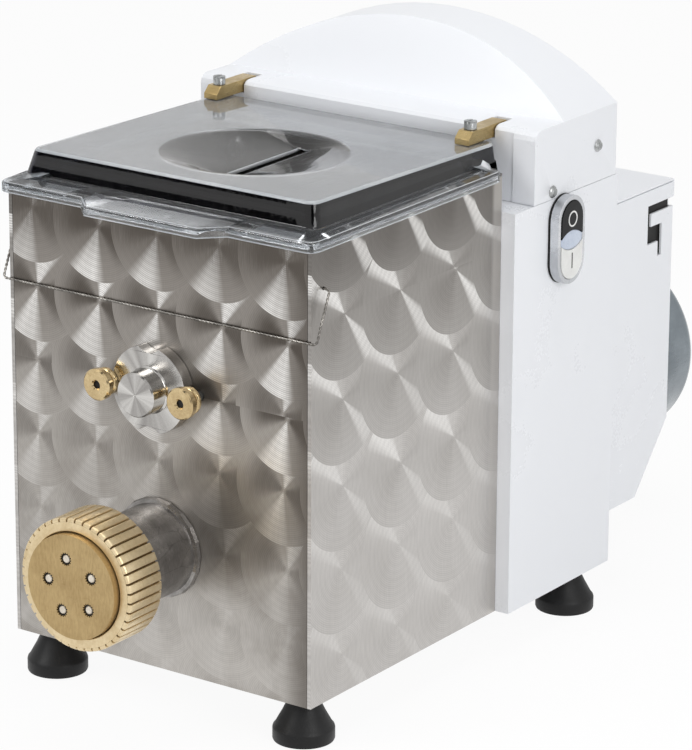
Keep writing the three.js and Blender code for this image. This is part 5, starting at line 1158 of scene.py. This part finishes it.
class SizeSettings(bpy.types.PropertyGroup):
    disc_pitch_across: length("Disc pitch across", "Distance between brushed discs of a row of the front", 46.5)
    disc_pitch_up: length("Disc pitch up", "Distance between the rows of brushed discs of the front", 47.0)
    disc_radius: length("Disc radius", "Radius of a brushed disc of the front", 34.5)
    groove_depth: length("Groove depth", "Depth of the grooves of the ring nut", 2.1)
    groove_count: IntProperty(name="Grooves", description="Number of grooves of the ring nut", default=42,
                              min=8)
    lid_wall: length("Lid wall", "Thickness of the clear lid", 2.4)
    hood_fold: length("Hood fold", "Radius of the hood's folds", 3.4)
    cowl_bend: length("Cowl bend", "Radius of the fan cowl's rounded rear edge", 10.0)


class StageSettings(bpy.types.PropertyGroup):
    lens: number("Lens", "Focal length of the camera", 198.87, "CAMERA")
    key_power: number("Key lamp", "Power of the front left lamp", 13.0, "POWER")
    fill_power: number("Fill lamp", "Power of the right lamp", 10.0, "POWER")
    top_power: number("Top lamp", "Power of the lamp above", 9.0, "POWER")
    world_level: number("Surround", "Light from the white surround", 0.45)
    mirror_level: number("Surround in metal", "How bright metal shows it", 0.9)
    floor_glow: number("Floor white", "Share of plain white in the floor", 0.93)


class FinishSettings(bpy.types.PropertyGroup):
    # Steel cone and Steel dark are the painted highlight and painted shade of the swirled discs; Steel light is
    # the tone of light patches and of the painted sheen
    steel_painted_highlight: colour("Steel cone", "Brightest part of a brushed disc", (250, 248, 245))
    steel_light: colour("Steel light", "Light patches of the steel", (206, 202, 197))
    steel_base: colour("Steel", "The steel between the cones", (166, 161, 155))
    steel_painted_shade: colour("Steel dark", "Dark sectors of a brushed disc", (96, 90, 84))
    brass_light: colour("Brass light", "Light tone of the ring nut", (243, 225, 188))
    brass_dark: colour("Brass dark", "Dark tone of the ring nut", (204, 180, 136))
    paint: colour("Paint", "Paint of the column and hood", (238, 240, 244))
    painted_shade_depth: number("Swirl depth", "Strength of the dark sectors", 0.95)
    painted_highlight_strength: number("Swirl shine", "Strength of the bright cones", 1.0)


class PASTA_OT_finishes(bpy.types.Operator):
    """Makes every finish and the trees that repeat shapes"""
    bl_idname = "pasta_maker.finishes"
    bl_label = "Finishes"

    def execute(self, context):
        make_finishes()
        TREES["circle"] = copies_tree("Copies round a circle", True)
        TREES["places"] = copies_tree("Copies at places", False)
        return {"FINISHED"}


class PASTA_OT_stage(bpy.types.Operator):
    """Makes the pale floor, the white surround, soft lamps and the camera at the photograph's place"""
    bl_idname = "pasta_maker.stage"
    bl_label = "Stage and camera"

    def execute(self, context):
        build_stage()
        return {"FINISHED"}


class PASTA_OT_barrel(bpy.types.Operator):
    """Makes a smooth skin on the extruding barrel and the rough weld bead that joins it to the front panel"""
    bl_idname = "pasta_maker.barrel"
    bl_label = "Barrel"

    def execute(self, context):
        build_barrel()
        return {"FINISHED"}


class PASTA_OT_die(bpy.types.Operator):
    """Makes the bronze die with five serrated holes and a smooth core in each"""
    bl_idname = "pasta_maker.die"
    bl_label = "Die"

    def execute(self, context):
        build_die()
        return {"FINISHED"}


class PASTA_OT_ring_nut(bpy.types.Operator):
    """Makes the brass ring nut: a turned ring with long raised lands between narrow grooves"""
    bl_idname = "pasta_maker.ring_nut"
    bl_label = "Ring nut"

    def execute(self, context):
        build_ring_nut()
        return {"FINISHED"}


class PASTA_OT_flange(bpy.types.Operator):
    """Makes the polished mixer bearing flange, its hub, and the brass thumb nuts on their studs"""
    bl_idname = "pasta_maker.flange"
    bl_label = "Bearing flange and nuts"

    def execute(self, context):
        build_flange()
        return {"FINISHED"}


class PASTA_OT_lid(bpy.types.Operator):
    """Makes the clear moulded lid with its funnel, slot and front lip, and its brass hinge bars"""
    bl_idname = "pasta_maker.lid"
    bl_label = "Lid and hinge bars"

    def execute(self, context):
        build_lid()
        return {"FINISHED"}


class PASTA_OT_bail(bpy.types.Operator):
    """Makes the twisted wire bail that swings over the lid's front"""
    bl_idname = "pasta_maker.bail"
    bl_label = "Wire bail"

    def execute(self, context):
        build_bail()
        return {"FINISHED"}


class PASTA_OT_hood(bpy.types.Operator):
    """Makes the painted hood of pressed sheet, with rounded folds"""
    bl_idname = "pasta_maker.hood"
    bl_label = "Hood"

    def execute(self, context):
        build_hood()
        return {"FINISHED"}


class PASTA_OT_screws(bpy.types.Operator):
    """Makes the hood's cross screws, the hinge bars' slotted screws and the domed bolts in the tub"""
    bl_idname = "pasta_maker.screws"
    bl_label = "Screws and bolts"

    def execute(self, context):
        build_screws()
        return {"FINISHED"}


class PASTA_OT_switch(bpy.types.Operator):
    """Makes the push-button switch: rubber gasket, silver bezel, two buttons, pilot lens and their marks"""
    bl_idname = "pasta_maker.switch"
    bl_label = "Switch"

    def execute(self, context):
        build_switch()
        return {"FINISHED"}


class PASTA_OT_cowl(bpy.types.Operator):
    """Makes the motor's fan cowl: a smooth drum with a rounded rear edge and a grille of radial slots"""
    bl_idname = "pasta_maker.cowl"
    bl_label = "Fan cowl"

    def execute(self, context):
        build_cowl()
        return {"FINISHED"}


class PASTA_OT_feet(bpy.types.Operator):
    """Makes the rubber feet: a coned top, a soft shoulder and a straight rim"""
    bl_idname = "pasta_maker.feet"
    bl_label = "Feet"

    def execute(self, context):
        build_feet()
        return {"FINISHED"}


class PASTA_OT_rear_cover(bpy.types.Operator):
    """Makes the rear cover's lid plate with its rounded fold and a black plate behind its hooked slot, as painted
    shade
    """
    bl_idname = "pasta_maker.rear_cover"
    bl_label = "Rear cover"

    def execute(self, context):
        build_rear_cover()
        return {"FINISHED"}


class PASTA_OT_packed_parts(bpy.types.Operator):
    """Gives every part that stays as packed its finish"""
    bl_idname = "pasta_maker.packed_parts"
    bl_label = "Packed parts"

    def execute(self, context):
        dress_nodes()
        return {"FINISHED"}


OPERATORS = [
    PASTA_OT_finishes, PASTA_OT_stage, PASTA_OT_barrel, PASTA_OT_die, PASTA_OT_ring_nut,
    PASTA_OT_flange, PASTA_OT_lid, PASTA_OT_bail, PASTA_OT_hood, PASTA_OT_screws, PASTA_OT_switch,
    PASTA_OT_cowl, PASTA_OT_feet, PASTA_OT_rear_cover, PASTA_OT_packed_parts,
]


class PASTA_PT_pieces(bpy.types.Panel):
    """Lists the pieces of the pasta maker and their settings"""
    bl_label = "Pasta maker"
    bl_idname = "PASTA_PT_pieces"
    bl_space_type = "VIEW_3D"
    bl_region_type = "UI"
    bl_category = "Pasta maker"

    def draw(self, context):
        for operator in OPERATORS:
            self.layout.operator(operator.bl_idname)
        for settings in (context.scene.pasta_sizes, context.scene.pasta_finishes, context.scene.pasta_stage):
            box = self.layout.box()
            for key in settings.__annotations__:
                box.prop(settings, key)


CLASSES = [SizeSettings, StageSettings, FinishSettings, *OPERATORS, PASTA_PT_pieces]


def register():
    for each in CLASSES:
        bpy.utils.register_class(each)
    bpy.types.Scene.pasta_sizes = PointerProperty(type=SizeSettings)
    bpy.types.Scene.pasta_stage = PointerProperty(type=StageSettings)
    bpy.types.Scene.pasta_finishes = PointerProperty(type=FinishSettings)


def unregister():
    del bpy.types.Scene.pasta_sizes
    del bpy.types.Scene.pasta_stage
    del bpy.types.Scene.pasta_finishes
    for each in reversed(CLASSES):
        bpy.utils.unregister_class(each)


def main():
    register()
    for operator in OPERATORS:
        getattr(bpy.ops.pasta_maker, operator.bl_idname.split(".")[1])()
    bpy.context.view_layer.update()


if __name__ == "__main__":
    main()
